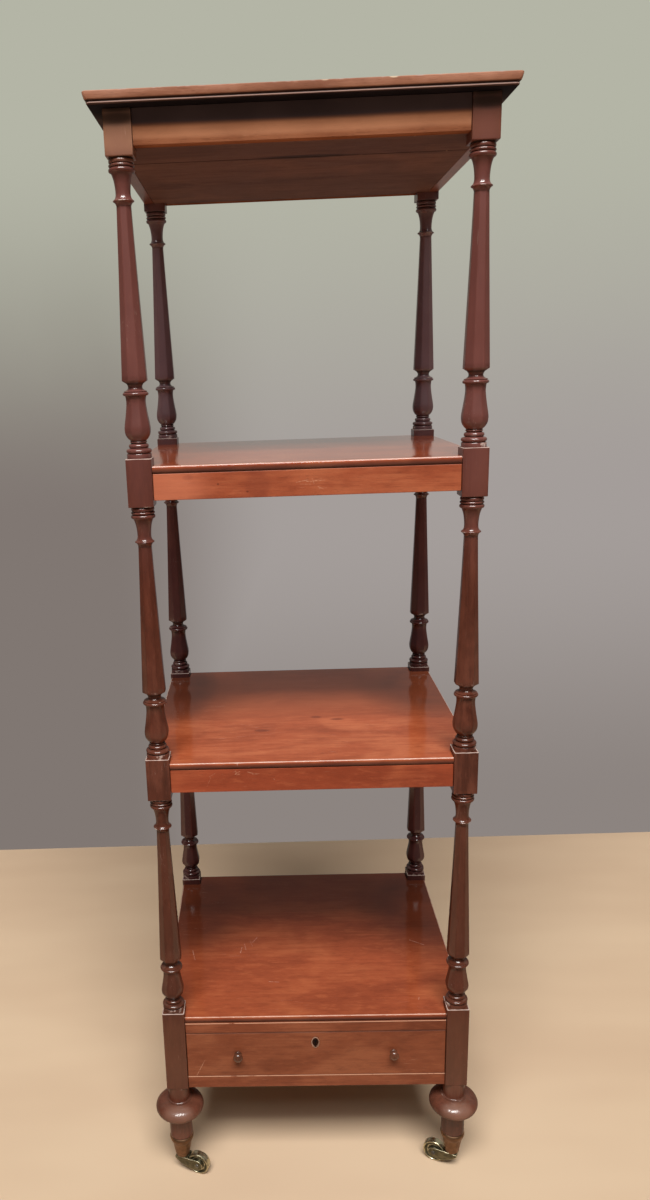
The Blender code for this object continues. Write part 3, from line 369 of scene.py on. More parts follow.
def old_metal(name, dull, bright, grime_tone, rough, shine, tarnish=0.6):
    """Metal with a patina that hands and floors have rubbed off its edges."""
    mat, bench = new_finish(name)
    place = bench.spot()
    arris = bench.given("arris")
    blotch = bench.noise(place, 7, 4.0, 0.6)
    speck = bench.noise(place, 0.9, 2.0)
    rubbed = (arris * 1.1 - blotch.ease(0.35, 0.75) * 0.7).ease(0.05, 0.7)
    metal = bench.blend(blotch.ease(0.4, 0.66) * tarnish, tone(*dull), tone(*grime_tone))
    metal = bench.blend(rubbed, metal, tone(*bright))
    metal = bench.blend(speck.ease(0.6, 0.75) * 0.35, metal, tone(*grime_tone))
    roughness = rough + blotch.ease(0.4, 0.7) * 0.22 - rubbed * (rough - shine)
    bump = bench.bump(0.3, 0.15 * MM, blotch + speck * 0.4)
    close_finish(bench, bench.principled({
        "Base Color": metal, "Metallic": 1.0 - blotch.ease(0.5, 0.8) * 0.35,
        "Roughness": roughness, "Normal": bump}))
    return mat


# Turned pieces: one tree of nodes turns an outline round the Z axis

def lathe_tree():
    """Outline in, turned solid out; rows of it can be squared off or cut to eight facets."""
    tree = bpy.data.node_groups.new("lathe", "GeometryNodeTree")
    for name, kind in (("Outline", "NodeSocketGeometry"), ("Sides", "NodeSocketInt"),
                       ("Square Corner", "NodeSocketFloat"), ("Facet Corner", "NodeSocketFloat"),
                       ("Finish", "NodeSocketMaterial")):
        tree.interface.new_socket(name, in_out="INPUT", socket_type=kind)
    tree.interface.new_socket("Solid", in_out="OUTPUT", socket_type="NodeSocketGeometry")
    bench = Bench(tree)
    entry = tree.nodes.new("NodeGroupInput")
    given = {socket.name: Line(bench, socket) for socket in entry.outputs if socket.name}
    outline = given["Outline"]
    sides = given["Sides"]
    rows = bench.node("GeometryNodeAttributeDomainSize", {"component": "MESH"}, [outline])
    grid = bench.node("GeometryNodeMeshGrid", None,
                      {"Vertices X": sides + 1, "Vertices Y": rows})
    index = bench.node("GeometryNodeInputIndex")
    row = index % rows
    angle = (index / rows).floored() / sides * (2 * pi)

    def at_row(value, kind):
        return bench.node("GeometryNodeSampleIndex", {"data_type": kind},
                          {"Geometry": outline, "Value": value, "Index": row})

    def share_at_row(name):
        value = bench.node("GeometryNodeInputNamedAttribute", {"data_type": "FLOAT"},
                           {"Name": name})
        return at_row(value, "FLOAT")

    radius, _, height = bench.axes(at_row(bench.node("GeometryNodeInputPosition"),
                                          "FLOAT_VECTOR"))

    def cut(count, corner, share, keen):
        """How far a polygon's edge stands out from its flats, and how near its corner is."""
        wedge = 2 * pi / count
        turn = (angle + wedge / 2) % wedge - wedge / 2
        out = (1 / turn.cosine()).lowest(corner)
        return (out - 1) * share, (abs(turn) / (wedge / 2)) ** keen * share

    square, square_edge = cut(4, given["Square Corner"], share_at_row("square"), 24)
    facet, facet_edge = cut(8, given["Facet Corner"], share_at_row("facet"), 12)
    radius = radius * (square + facet + 1)
    place = bench.node("ShaderNodeCombineXYZ", None,
                       [radius * angle.cosine(), radius * angle.sine(), height])
    solid = bench.node("GeometryNodeSetPosition", None, {"Geometry": grid, "Position": place})
    edge = share_at_row("arris").highest(square_edge * 0.56).highest(facet_edge * 0.6)
    for name, value in (("arris", edge), ("grime", share_at_row("grime"))):
        solid = bench.node("GeometryNodeStoreNamedAttribute",
                           {"data_type": "FLOAT", "domain": "POINT"},
                           {"Geometry": solid, "Name": name, "Value": value})
    solid = bench.node("GeometryNodeMergeByDistance", None, {"Geometry": solid, "Distance": TINY})
    solid = bench.node("GeometryNodeRealizeInstances", None, {"Geometry": solid})
    solid = bench.node("GeometryNodeSetMaterial", None,
                       {"Geometry": solid, "Material": given["Finish"]})
    out = tree.nodes.new("NodeGroupOutput")
    tree.links.new(solid.socket, out.inputs[0])
    return tree


class Outline:
    """Rows of a turned piece, from its top down: radius, height, squared and faceted shares.

    Radius and height are in millimetres. A last number adds rubbing to that which the
    outline's own arrises get, or darkening to a dull finish if it is below 0.
    """

    def __init__(self):
        self.rows = []

    def to(self, radius, height, square=0.0, facet=0.0, rubbed=0.0):
        self.rows.append((radius, height, square, facet, rubbed))
        return self

    def bead(self, low_radius, high_radius, top, foot, steps=8):
        """A half-round bead."""
        centre, half = (top + foot) / 2, (top - foot) / 2
        for k in range(steps + 1):
            angle = pi * k / steps
            self.to(low_radius + (high_radius - low_radius) * sin(angle),
                    centre + half * cos(angle))
        return self

    def curve(self, points, steps=6):
        """A smooth line through points of (radius, height, square, facet)."""
        points = [tuple(point) + (0.0,) * (4 - len(point)) for point in points]
        ends = [points[0]] + points + [points[-1]]
        for i in range(1, len(ends) - 2):
            before, start, end, after = (Vector(p) for p in ends[i - 1:i + 3])
            for k in range(steps):
                t = k / steps
                self.to(*((start * 2 + (end - before) * t
                           + (before * 2 - start * 5 + end * 4 - after) * t * t
                           + (start * 3 - before - end * 3 + after) * t ** 3) / 2))
        self.to(*points[-1])
        return self

    def bends(self):
        """How sharply the outline turns outwards and inwards at each row."""
        arrises, hollows = [], []
        for i, row in enumerate(self.rows):
            before = self.rows[max(i - 1, 0)]
            after = self.rows[min(i + 1, len(self.rows) - 1)]
            come = Vector((row[0] - before[0], row[1] - before[1]))
            go = Vector((after[0] - row[0], after[1] - row[1]))
            turn = 0.0
            if min(come.length, go.length) * MM > TINY:
                come.normalize()
                go.normalize()
                turn = (come.y * go.x - come.x * go.y) * 1.6
            arrises.append(min(max(turn, 0.0), 1.0) + max(row[4], 0.0))
            hollows.append(min(max(-turn, -row[4], 0.0), 1.0))
        return arrises, hollows


LATHE = lathe_tree()


def set_inputs(modifier, values):
    named = {item.name: item.identifier for item in modifier.node_group.interface.items_tree
             if item.in_out == "INPUT"}
    for name, value in values.items():
        modifier[named[name]] = value


def turned(name, outline, mat, place, sides):
    """Turn an outline and set the solid in its place."""
    mesh = bpy.data.meshes.new(name + "_outline")
    rows = outline.rows
    mesh.from_pydata([(row[0] * MM, 0, row[1] * MM) for row in rows],
                     [(i, i + 1) for i in range(len(rows) - 1)], [])
    arrises, hollows = outline.bends()
    shares = {"square": [row[2] for row in rows], "facet": [row[3] for row in rows],
              "arris": arrises, "grime": hollows}
    for key, values in shares.items():
        mesh.attributes.new(key, "FLOAT", "POINT").data.foreach_set("value", values)
    blank = as_object(name + "_outline", mesh)
    modifier = blank.modifiers.new("lathe", "NODES")
    modifier.node_group = LATHE
    set_inputs(modifier, {"Sides": sides, "Square Corner": SQUARE_CORNER,
                          "Facet Corner": FACET_CORNER, "Finish": mat})
    solid = finished_mesh(blank)
    solid.transform(place)
    bm = merged_copy(solid)
    bmesh.ops.recalc_face_normals(bm, faces=bm.faces)
    bm.to_mesh(solid)
    bm.free()
    solid.shade_smooth()
    solid.set_sharp_from_angle(angle=radians(TURNED_ARRIS))
    solid.name = name
    return as_object(name, solid)


def post_outline():
    """Square blocks, three turned and faceted stages, and the bun foot."""
    line = Outline()
    half = BLOCK / 2
    ease = 0.9
    for stage, (top, foot) in enumerate(zip(BLOCK_TOPS, BLOCK_FOOTS)):
        line.to(0 if stage == 0 else 13.6, top).to(half - 2 * ease, top, 1)
        line.to(half - ease, top, 1, 0, 1.2).to(half - 0.25 * ease, top - 0.25 * ease, 1, 0, 1.5)
        line.to(half, top - ease, 1).to(half, top - 1.3 * ease, 1)
        line.to(half, foot + 1.3 * ease, 1).to(half, foot + ease, 1)
        line.to(half - 0.25 * ease, foot + 0.25 * ease, 1)
        line.to(half - ease, foot, 1)
        if stage < 3:
            stage_outline(line, foot, TAPER_LENGTHS[stage])
    foot_outline(line)
    return line


def stage_outline(line, top, taper):
    """One turned stage, measured down from the block above."""
    def down(length):
        return top - length

    line.to(13.5, top).to(13.4, down(1.2))
    line.bead(13.6, 14.7, down(1.4), down(5.5))
    line.to(13.2, down(5.8)).to(13.2, down(6.3))
    line.bead(13.3, 15.0, down(6.4), down(9.6))
    line.to(13.1, down(9.8)).to(13.1, down(10.2))
    line.bead(13.3, 15.4, down(10.4), down(15.2), 10)
    line.to(12.9, down(15.5))
    line.curve([(12.7, down(15.7)), (11.5, down(18.4)), (10.1, down(23.2)), (9.2, down(29)),
                (8.75, down(35)), (8.9, down(39.4)), (10.1, down(42.6)), (12.1, down(44.3))])
    line.to(12.4, down(44.7)).to(12.4, down(45.3)).to(12.0, down(45.7))
    line.curve([(10.9, down(46.2)), (9.5, down(48.0), 0, 0.1), (8.4, down(50.4), 0, 0.8)], 4)
    foot = down(50.2) - taper
    line.curve([(8.35, down(52.5), 0, 1), (10.2, down(50.2) - taper * 0.3, 0, 1),
                (13.2, down(50.2) - taper * 0.72, 0, 1), (15.1, foot + 2.9, 0, 1)], 5)
    line.to(14.9, foot + 2.5, 0, 1).to(9.9, foot - 0.9, 0, 0.9)
    cove = foot - 12.4
    line.curve([(9.0, foot - 3.0, 0, 0.3), (8.7, foot - 5.0), (9.3, foot - 6.9),
                (11.3, foot - 8.6), (13.7, foot - 9.5)], 5)
    line.to(14.3, foot - 9.9).to(14.0, foot - 10.5)
    line.to(13.3, foot - 10.7)
    line.bead(13.4, 15.8, cove + 1.6, cove - 2.7, 12)
    end = top - STAGE_H + 20.8
    run = cove - end

    def vase(share):
        return cove - run * share

    line.curve([(12.9, cove - 2.9, 0, 0.1), (12.1, vase(0.11), 0, 0.5),
                (11.75, vase(0.2), 0, 0.7), (12.4, vase(0.33), 0, 0.8),
                (13.8, vase(0.5), 0, 0.8), (15.3, vase(0.66), 0, 0.8),
                (15.7, vase(0.76), 0, 0.8), (14.9, vase(0.86), 0, 0.7),
                (12.6, vase(0.94), 0, 0.4), (10.2, vase(0.985))], 6)
    line.bead(9.6, 10.6, end - 0.2, end - 2.2, 6)
    block = top - STAGE_H
    line.to(9.4, block + 18.2).to(9.4, block + 17.6)
    line.bead(9.9, 12.4, block + 17.4, block + 12.2)
    line.to(11.6, block + 12.0).to(12.6, block + 11.6)
    line.bead(13.0, 15.7, block + 11.4, block + 6.2, 10)
    line.to(13.9, block + 6.0).to(13.9, block + 5.5)
    line.to(15.0, block + 5.3).to(15.3, block + 4.9)
    line.to(15.3, block)


def foot_outline(line):
    """Ankle, flattened bun and the neck that enters the castor cup."""
    bun = LEG_CLEARANCE - 26.5
    line.to(15.8, LEG_CLEARANCE)
    line.curve([(15.8, LEG_CLEARANCE - 8), (15.8, bun + 3.2), (16.2, bun + 1.2),
                (17.4, bun + 0.5)], 4)
    line.bead(17.4, 18.2, bun + 0.4, bun - 1.2, 4)
    line.curve([(17.8, bun - 1.3), (24.0, bun - 2.2), (30.0, bun - 5.0), (34.0, bun - 8.6),
                (35.7, bun - 12.6), (35.1, bun - 17.2), (32.2, bun - 21.4), (27.6, bun - 24.3)], 7)
    neck = bun - 25.5
    line.to(26.2, neck + 0.5).to(25.2, neck).to(18.4, neck)
    line.to(17.3, neck - 0.9)
    line.curve([(17.1, neck - 3), (16.9, 88), (17.0, 74), (17.0, 67)], 5)
    line.to(16.8, 65.9).to(16.2, 65.35).to(14.9, 65.3)
    line.to(9.6, 32.2).to(0, 32.2)


def cup_outline():
    line = Outline()
    line.to(15.2, 63.6).to(15.3, 64.6).to(15.8, 65.0)
    line.to(16.5, 64.9).to(17.0, 64.3)
    line.curve([(17.3, 63.6), (17.85, 61.5), (17.5, 58.6), (16.2, 55.4), (14.8, 52.2),
                (13.4, 46), (11.8, 36), (10.3, 28.6), (9.5, 27.0), (7.9, 26.05)], 5)
    line.to(7.0, 26).to(3.4, 26).to(3.4, 29)
    line.to(9.3, 29).to(15.2, 63.6)
    return line


def wheel_outline():
    """Dished wheel: a polished tread, a thin rim, a sloping dish, a raised ring and the hub."""
    half = 5.4
    side = [(17.0, half - 1.3), (16.75, half - 0.6), (16.2, half - 0.1), (15.6, half),
            (14.9, half - 0.1), (14.4, half - 0.7), (13.2, half - 2.1), (12.2, half - 2.7),
            (11.6, half - 2.4), (11.0, half - 1.9), (10.2, half - 1.7), (9.4, half - 1.9),
            (8.8, half - 2.6), (7.4, half - 3.0), (5.6, half - 3.0), (5.1, half - 2.5),
            (4.9, half - 0.3), (4.5, half), (2.3, half)]
    line = Outline()
    for radius, height in reversed(side):
        line.to(radius, height)
    line.to(17.0, 2.4, 0, 0, 1).to(17.0, -2.4, 0, 0, 1)
    for radius, height in side:
        line.to(radius, -height)
    line.to(2.3, half)
    return line


def pin_outline():
    line = Outline()
    half = 8.8
    line.curve([(0, half + 1.1), (1.6, half + 0.95), (2.8, half + 0.5), (3.2, half)], 4)
    line.to(2, half).to(2, -half)
    line.curve([(3.2, -half), (2.8, -half - 0.5), (1.6, -half - 0.95), (0, -half - 1.1)], 4)
    return line


def knob_outline():
    line = Outline()
    line.curve([(0, 13.3), (1.6, 13.15), (3.6, 12.5), (5.6, 11.2), (6.8, 9.4), (6.9, 7.9),
                (5.9, 6.3), (4.2, 5.2), (3.3, 4.3), (3.5, 3.2)], 5)
    line.bead(4.0, 5.4, 2.9, 1.3, 6)
    line.to(5.2, 1.1).to(5.3, 0.3).to(3.5, 0.3)
    line.to(3.5, -19).to(0, -19)
    return line


# Boards, rails and plates

def skin(bm, near, far):
    """Faces between two rings with equal counts."""
    for i in range(len(near)):
        j = (i + 1) % len(near)
        bm.faces.new((near[i], near[j], far[j], far[i]))


def as_piece(name, bm, mat, smooth=None):
    bmesh.ops.recalc_face_normals(bm, faces=bm.faces)
    mesh = bpy.data.meshes.new(name)
    bm.to_mesh(mesh)
    bm.free()
    if smooth:
        mesh.shade_smooth()
        mesh.set_sharp_from_angle(angle=radians(smooth))
    return as_object(name, mesh, mat)


def softened(name, node, mat, width=0.8 * MM, keep=None, rubbed=(1.0, 1.0)):
    """A copy of a straight CAD piece with its arrises eased, rubbed above and below."""
    level = middle(node).z
    bm = merged_copy(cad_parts[node].data)
    bmesh.ops.dissolve_limit(bm, angle_limit=radians(0.5), verts=bm.verts, edges=bm.edges)
    layer = bm.faces.layers.float.new("arris")
    bm.normal_update()
    edges = [edge for edge in keen_edges(bm, JOINED_ARRIS) if keep is None or keep(edge)]
    for face in ease_edges(bm, edges, width, 2):
        face[layer] = rubbed[0] if face.calc_center_median().z > level else rubbed[1]
    bm.normal_update()
    mesh = bpy.data.meshes.new(name)
    bm.to_mesh(mesh)
    bm.free()
    return as_object(name, mesh, mat)


def stacked(name, loops, shares, mat):
    """Skin a stack of loops with equal counts, first on top, and cap both ends.

    The shares are those of rubbing, or, below 0, of a dark dull finish that paints shade.
    """
    bm = bmesh.new()
    rub = bm.verts.layers.float.new("arris")
    dirt_and_shade = bm.verts.layers.float.new("grime")
    rings = []
    for loop, share in zip(loops, shares):
        ring = [bm.verts.new(point) for point in loop]
        for vert in ring:
            vert[rub] = max(share, 0.0)
            vert[dirt_and_shade] = max(-share, 0.0)
        rings.append(ring)
    for upper, lower in zip(rings, rings[1:]):
        skin(bm, lower, upper)
    bm.faces.new(rings[0])
    bm.faces.new(rings[-1])
    return as_piece(name, bm, mat, SHADED_ARRIS)


def moulded_top(name, mat):
    low, high = (Vector(corner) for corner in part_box("top_board"))
    thick = high.z - low.z
    # Rows of inset, drop and share. The fascia's foot and the quirk darken to the dull finish; the
    # fillet is rubbed hard, part wear and part a painted highlight; below it the underside takes
    # painted shade.
    edge = [(3.4, 0.0, 0.0), (1.2, 0.0, 0.4), (0.45, 0.3, 1.0), (0.05, 0.95, 0.8),
            (0.05, 1.8, 0.1), (0.75, 4.8, 0.0), (1.5, 7.2, -0.1), (1.9, 8.0, -0.3),
            (2.4, 8.45, -0.7), (4.8, 8.65, -1.0), (5.0, 9.0, -1.0), (5.0, 10.2, -1.0),
            (4.3, 10.35, -0.2), (3.9, 10.4, 2.2), (3.5, 10.65, 2.6), (3.5, 11.5, 2.2),
            (3.55, 11.8, -0.8), (3.75, 12.2, -1.0), (4.3, 12.8, -1.0), (4.9, 13.3, -1.0),
            (5.6, 13.5, -1.0), (14.0, 13.5, -1.0)]
    loops = []
    for inset, drop, _ in edge:
        x, y = high.x - inset * MM, high.y - inset * MM
        z = high.z - min(drop * MM, thick)
        radius = 4.2 * MM
        loop = []
        for i, (sx, sy) in enumerate(((1, 1), (-1, 1), (-1, -1), (1, -1))):
            for k in range(7):
                angle = pi / 2 * (i + k / 6)
                loop.append((sx * (x - radius) + radius * cos(angle),
                             sy * (y - radius) + radius * sin(angle), z))
        loops.append(loop)
    return stacked(name, loops, [row[2] for row in edge], mat)


def nosed_shelf(name, node, mat, set_back=0.0):
    """Shelf board with a rounded front edge, notched round the posts."""
    low, high = (Vector(corner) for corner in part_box(node))
    post = middle("front_right_post")
    inner = post.x - BLOCK * MM / 2 - GAP
    inner_y = abs(post.y) - BLOCK * MM / 2 - GAP
    thick = (high.z - low.z) / MM
    # Rows of inset, drop and share. The top arris is rubbed hard, part wear and part a painted
    # highlight; the lower nosing and the underside take painted shade.
    edge = [(3.6, 0.0, 0.0), (2.3, 0.04, 0.2), (1.6, 0.2, 2.1), (0.95, 0.6, 2.1), (0.5, 1.2, 0.2),
            (0.25, 1.9, -0.34), (0.05, 3.2, -0.52), (0.0, 4.6, -0.64), (0.1, 6.2, -0.74),
            (0.35, thick - 1.9, -0.8), (0.75, thick - 1.0, -1.0), (1.3, thick - 0.4, -1.0),
            (2.2, thick, -1.0)]
    loops = []
    for inset, drop, _ in edge:
        left, right = low.x + inset * MM, high.x - inset * MM
        front, back = low.y + (inset + set_back) * MM, high.y - inset * MM
        z = high.z - drop * MM
        loops.append([(right, inner_y, z), (inner, inner_y, z), (inner, back, z),
                      (-inner, back, z), (-inner, inner_y, z), (left, inner_y, z),
                      (left, -inner_y, z), (-inner, -inner_y, z), (-inner, front, z),
                      (inner, front, z), (inner, -inner_y, z), (right, -inner_y, z)])
    return stacked(name, loops, [row[2] for row in edge], mat)


def keyhole(eye, slot_half, slot_foot, steps=10):
    """Round eye over a slot, as (x, z) points round the middle of the eye."""
    start = acos(slot_half / eye)
    points = []
    for k in range(steps * 2 + 1):
        angle = -start + (pi + 2 * start) * k / (steps * 2)
        points.append((eye * cos(angle), eye * sin(angle)))
    right, left = points[0][1], points[-1][1]
    for k in range(1, 4):
        points.append((-slot_half, left + (slot_foot - left) * k / 3))
    for k in range(3, 0, -1):
        points.append((slot_half, right + (slot_foot - right) * k / 3))
    return points


def keyhole_plate(name, mat):
    """Oval plate with a rounded rim, domed towards its keyhole."""
    low, high = (Vector(corner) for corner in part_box("escutcheon"))
    centre = (low + high) / 2
    half_w, half_h = (high.x - low.x) / 2, (high.z - low.z) / 2
    inner = keyhole(2.1 * MM, 0.9 * MM, -7.1 * MM)
    lift = 2.1 * MM
    oval = []
    for x, z in inner:
        length = hypot(x, z)
        across, up = x / length, z / length
        # From the eye out to the oval, whose middle lies a little lower
        a = (across / half_w) ** 2 + (up / half_h) ** 2
        b = 2 * up * lift / half_h ** 2
        c = (lift / half_h) ** 2 - 1
        reach = (-b + sqrt(b * b - 4 * a * c)) / (2 * a)
        oval.append((across * reach, up * reach))
    rows = [(0.0, high.y, 0.0), (0.0, low.y + 0.45 * MM, 0.0), (0.08, low.y + 0.22 * MM, 0.0),
            (0.35, low.y + 0.08 * MM, 0.0), (0.56, low.y + 0.1 * MM, 0.1),
            (0.7, low.y + 0.28 * MM, 0.8), (0.82, low.y + 0.12 * MM, 1.2),
            (0.92, low.y, 1.2), (0.98, low.y + 0.12 * MM, 1.2), (1.0, low.y + 0.4 * MM, 1.0),
            (1.0, high.y, 0.0), (0.0, high.y, 0.0)]
    bm = bmesh.new()
    layer = bm.verts.layers.float.new("arris")
    rings = []
    for share, depth, arris in rows:
        ring = []
        for (x, z), (far_x, far_z) in zip(inner, oval):
            vert = bm.verts.new((centre.x + x + (far_x - x) * share, depth,
                                 centre.z + lift + z + (far_z - z) * share))
            vert[layer] = arris
            ring.append(vert)
        rings.append(ring)
    for near, far in zip(rings, rings[1:]):
        skin(bm, near, far)
    bmesh.ops.remove_doubles(bm, verts=bm.verts, dist=TINY)
    return as_piece(name, bm, mat, PLATE_ARRIS)


def forked_horn(name, corner, mat):
    """Horn that swivels under the cup: a round plate drawn out into two cheeks."""
    axle = middle(corner + "_castor_wheel")
    pivot = middle(corner + "_castor_cup")
    run = Vector((axle.x - pivot.x, axle.y - pivot.y))
    trail = run.length
    outline = [(-9.5, 25.7), (-9.5, 22.9), (-8.6, 21.6), (-6.4, 19.6), (-3.2, 17.1), (1, 14.4),
               (6, 11.9), (11, 9.6), (15, 8.6), (19, 8.6)]
    for k in range(15):
        angle = radians(-110) + radians(200) * k / 14
        outline.append((trail / MM + HORN_EYE * cos(angle),
                        AXLE_HEIGHT + HORN_EYE * sin(angle)))
    outline += [(trail / MM - 5, 25.5), (14, 25.6), (9.5, 25.7)]
    bm = bmesh.new()
    near, far = ([bm.verts.new((a * MM, side * MM, b * MM)) for a, b in outline]
                 for side in (-HORN_HALF, HORN_HALF))
    skin(bm, near, far)
    bm.faces.new(near)
    bm.faces.new(far)
    body = as_piece(name, bm, mat)
    tool = bmesh.new()
    bmesh.ops.create_cone(tool, cap_ends=True, segments=48, radius1=SLOT_RADIUS * MM,
                          radius2=SLOT_RADIUS * MM, depth=SLOT_WIDTH * MM)
    bmesh.ops.rotate(tool, verts=tool.verts, matrix=Matrix.Rotation(pi / 2, 3, "X"))
    bmesh.ops.translate(tool, verts=tool.verts, vec=(trail, 0, AXLE_HEIGHT * MM))
    cutter = as_piece(name + "_slot", tool, mat)
    modifier = body.modifiers.new("slot", "BOOLEAN")
    modifier.operation = "DIFFERENCE"
    modifier.object = cutter
    bm = merged_copy(finished_mesh(body, cutter))
    layer = bm.faces.layers.float.new("arris")
    bm.normal_update()
    for face in ease_edges(bm, keen_edges(bm, CAST_ARRIS), 0.6 * MM, 3):
        face[layer] = 1.0
    turn = Matrix(((run.x / trail, -run.y / trail, 0), (run.y / trail, run.x / trail, 0),
                   (0, 0, 1))).to_4x4()
    bm.transform(Matrix.Translation((pivot.x, pivot.y, 0)) @ turn)
    return as_piece(name, bm, mat, SHADED_ARRIS)


# Camera, light and stage

ROOM_REACH = 4.0
WALL_AT_LEFT = 0.782
WALL_AT_RIGHT = 0.895
LENS = 27.92
FRAME_SHIFT = (0.0732, 0.0248)
EYE = (-0.0543, -1.3495, 1.1774)
GAZE = (74.620, 2.039, 1.314)
WARM = (1.0, 0.985, 0.955)
NEUTRAL = (1.0, 0.99, 0.98)
BODY_CENTRE = (0, -0.1, 0.7)

# Name, place, aim, size, watts and tint of each lamp
LAMPS = (
    ("key", (-0.1, -4.0, 7.4), BODY_CENTRE, (5.0, 2.3), 780, WARM),
    ("low_key", (-0.1, -5.0, 6.2), BODY_CENTRE, (5.0, 1.5), 90, WARM),
    ("fill", (0.3, -3.2, 2.6), (0, 0, 0.8), (3.0, 2.0), 2.5, NEUTRAL))
ROOM_LIGHT = 0.03
ROOM_TONE = (232, 238, 240)

# Wall tones: lighter high up, and painted shade low down and to the left
WALL_HIGH = (180, 181, 166)
WALL_LOW = (164, 157, 154)
WALL_DIM = (128, 119, 114)
WALL_SHADE = (205, 205, 205)
FLOOR_TONES = ((203, 175, 147), (214, 188, 159))
MIRRORED_FLOOR = (78, 66, 58)


def rectangle(name, corners, mat):
    mesh = bpy.data.meshes.new(name)
    mesh.from_pydata(corners, [], [range(4)])
    sheet = as_object(name, mesh, mat)


def floor_finish():
    mat, bench = new_finish("pale_floor")
    place = bench.spot()
    cloud = bench.noise(place, (1100, 350, 1000), 3.0, 0.6)
    colour = bench.blend(cloud.ease(0.3, 0.7), *(tone(*shade) for shade in FLOOR_TONES))
    # In reflections the floor in front turns dark: a painted reflection, unlike the floor that the
    # camera sees
    before = bench.axes(place)[1].ease(-0.2, -0.5)
    mirrored = bench.node("ShaderNodeLightPath", output="Is Glossy Ray")
    colour = bench.blend(before * mirrored, colour, tone(*MIRRORED_FLOOR))
    close_finish(bench, bench.principled({
        "Base Color": colour, "Roughness": 0.8, "Specular IOR Level": 0.2}))
    return mat


def wall_finish():
    """Pale plaster with painted shade, darker and greyer towards its foot and its left; clear from
    behind.
    """
    mat, bench = new_finish("pale_wall")
    place = bench.spot()
    across, _, height = bench.axes(place)
    cloud = bench.noise(place, (500, 500, 700), 3.0, 0.6) - 0.5
    # Painted shade towards the left and the foot
    dim = across.ease(0.0, -0.42).highest(height.ease(0.85, 0.1) * 0.7)
    colour = bench.blend(dim, tone(*WALL_LOW), tone(*WALL_DIM))
    colour = bench.blend((height + cloud * 0.12).ease(0.85, 1.7), colour, tone(*WALL_HIGH))
    shade = bench.blend(1.0, colour, tone(*WALL_SHADE), "MULTIPLY")
    paint = bench.principled({
        "Base Color": shade, "Roughness": 0.85, "Specular IOR Level": 0.2})
    seen = bench.node("ShaderNodeLightPath", output="Is Camera Ray").highest(
        bench.node("ShaderNodeLightPath", output="Is Glossy Ray"))
    glow = bench.node("ShaderNodeEmission", None, {"Color": colour, "Strength": 1.0})
    shader = bench.node("ShaderNodeMixShader", None, [seen, paint, glow])
    behind = bench.node("ShaderNodeNewGeometry", output="Backfacing")
    clear = bench.node("ShaderNodeBsdfTransparent")
    close_finish(bench, bench.node("ShaderNodeMixShader", None, [behind, shader, clear]))
    return mat


def area_light(name, place, aim, size, watts, colour):
    data = bpy.data.lights.new(name, "AREA")
    data.shape = "RECTANGLE"
    data.size, data.size_y = size
    data.energy = watts
    data.color = colour
    lamp = as_object(name, data)
    lamp.location = place
    lamp.rotation_euler = (Vector(aim) - Vector(place)).to_track_quat("-Z", "Y").to_euler()


def set_stage():
    scene = bpy.context.scene
    scene.view_settings.view_transform = "Standard"
    data = bpy.data.cameras.new("camera")
    data.lens = LENS
    data.shift_x, data.shift_y = FRAME_SHIFT
    scene.camera = as_object("camera", data)
    scene.camera.location = EYE
    scene.camera.rotation_euler = [radians(angle) for angle in GAZE]

    far = ROOM_REACH
    rectangle("floor", [(-far, -far, 0), (far, -far, 0), (far, far, 0), (-far, far, 0)],
              floor_finish())
    rectangle("backdrop", [(-far, WALL_AT_LEFT, 0), (far, WALL_AT_RIGHT, 0),
                           (far, WALL_AT_RIGHT, far), (-far, WALL_AT_LEFT, far)], wall_finish())
    for lamp in LAMPS:
        area_light(*lamp)
    world = bpy.data.worlds.new("soft_room")
    world.use_nodes = True
    world.node_tree.nodes.clear()
    bench = Bench(world.node_tree)
    light = bench.node("ShaderNodeBackground", None, [tone(*ROOM_TONE), ROOM_LIGHT])
    out = world.node_tree.nodes.new("ShaderNodeOutputWorld")
    world.node_tree.links.new(light.socket, out.inputs["Surface"])
    scene.world = world


# Woods and metals, with the scratches, tone patches and painted light and shade that show, each in
# its place

def scratches_on(face, rows, upright=True):
    """Scratches on a face, from rows of start, end, width in millimetres and strength."""
    made = []
    for start_x, start, end_x, end, width, share in rows:
        ends = [(x * MM, face, along * MM) if upright else (x * MM, along * MM, face)
                for x, along in ((start_x, start), (end_x, end))]
        made.append((*ends, width * MM, share))
    return made


RAIL_FACE = -0.1988
corners = [(middle(corner + "_post").x, middle(corner + "_post").y) for corner in CORNERS]
fronts, rears = corners[:2], corners[2:]

# Painted light and shade on the posts' stages, by height and by front or rear: posts, depth,
# height, reach across, reach up, tone and strength
STAGE_LIGHT_AND_SHADE = (
    (fronts, -0.186, 1.22, 0.04, 0.34, (116, 72, 68), 0.65),
    (fronts, -0.186, 0.45, 0.04, 0.2, (80, 44, 30), 0.45),
    (fronts, -0.186, 0.22, 0.05, 0.1, (106, 70, 52), 0.5),
    (rears, 0.186, 1.25, 0.04, 0.32, (118, 92, 98), 0.75),
    (rears, 0.186, 0.5, 0.04, 0.75, (72, 40, 42), 0.75))
stage_light_and_shade = [((x, depth, level), (reach, reach, rise), shade, share)
          for posts, depth, level, reach, rise, shade, share in STAGE_LIGHT_AND_SHADE for x, _ in posts]
# A paler tone over each bun, then a painted highlight on the front of each front bun
bun_tones_and_highlights = [((x, y, 0.117), (0.045, 0.045, 0.022), (112, 76, 60), 0.6) for x, y in corners]
bun_tones_and_highlights += [((x, -0.215, 0.122), (0.03, 0.02, 0.016), (142, 106, 90), 0.5) for x, y in fronts]
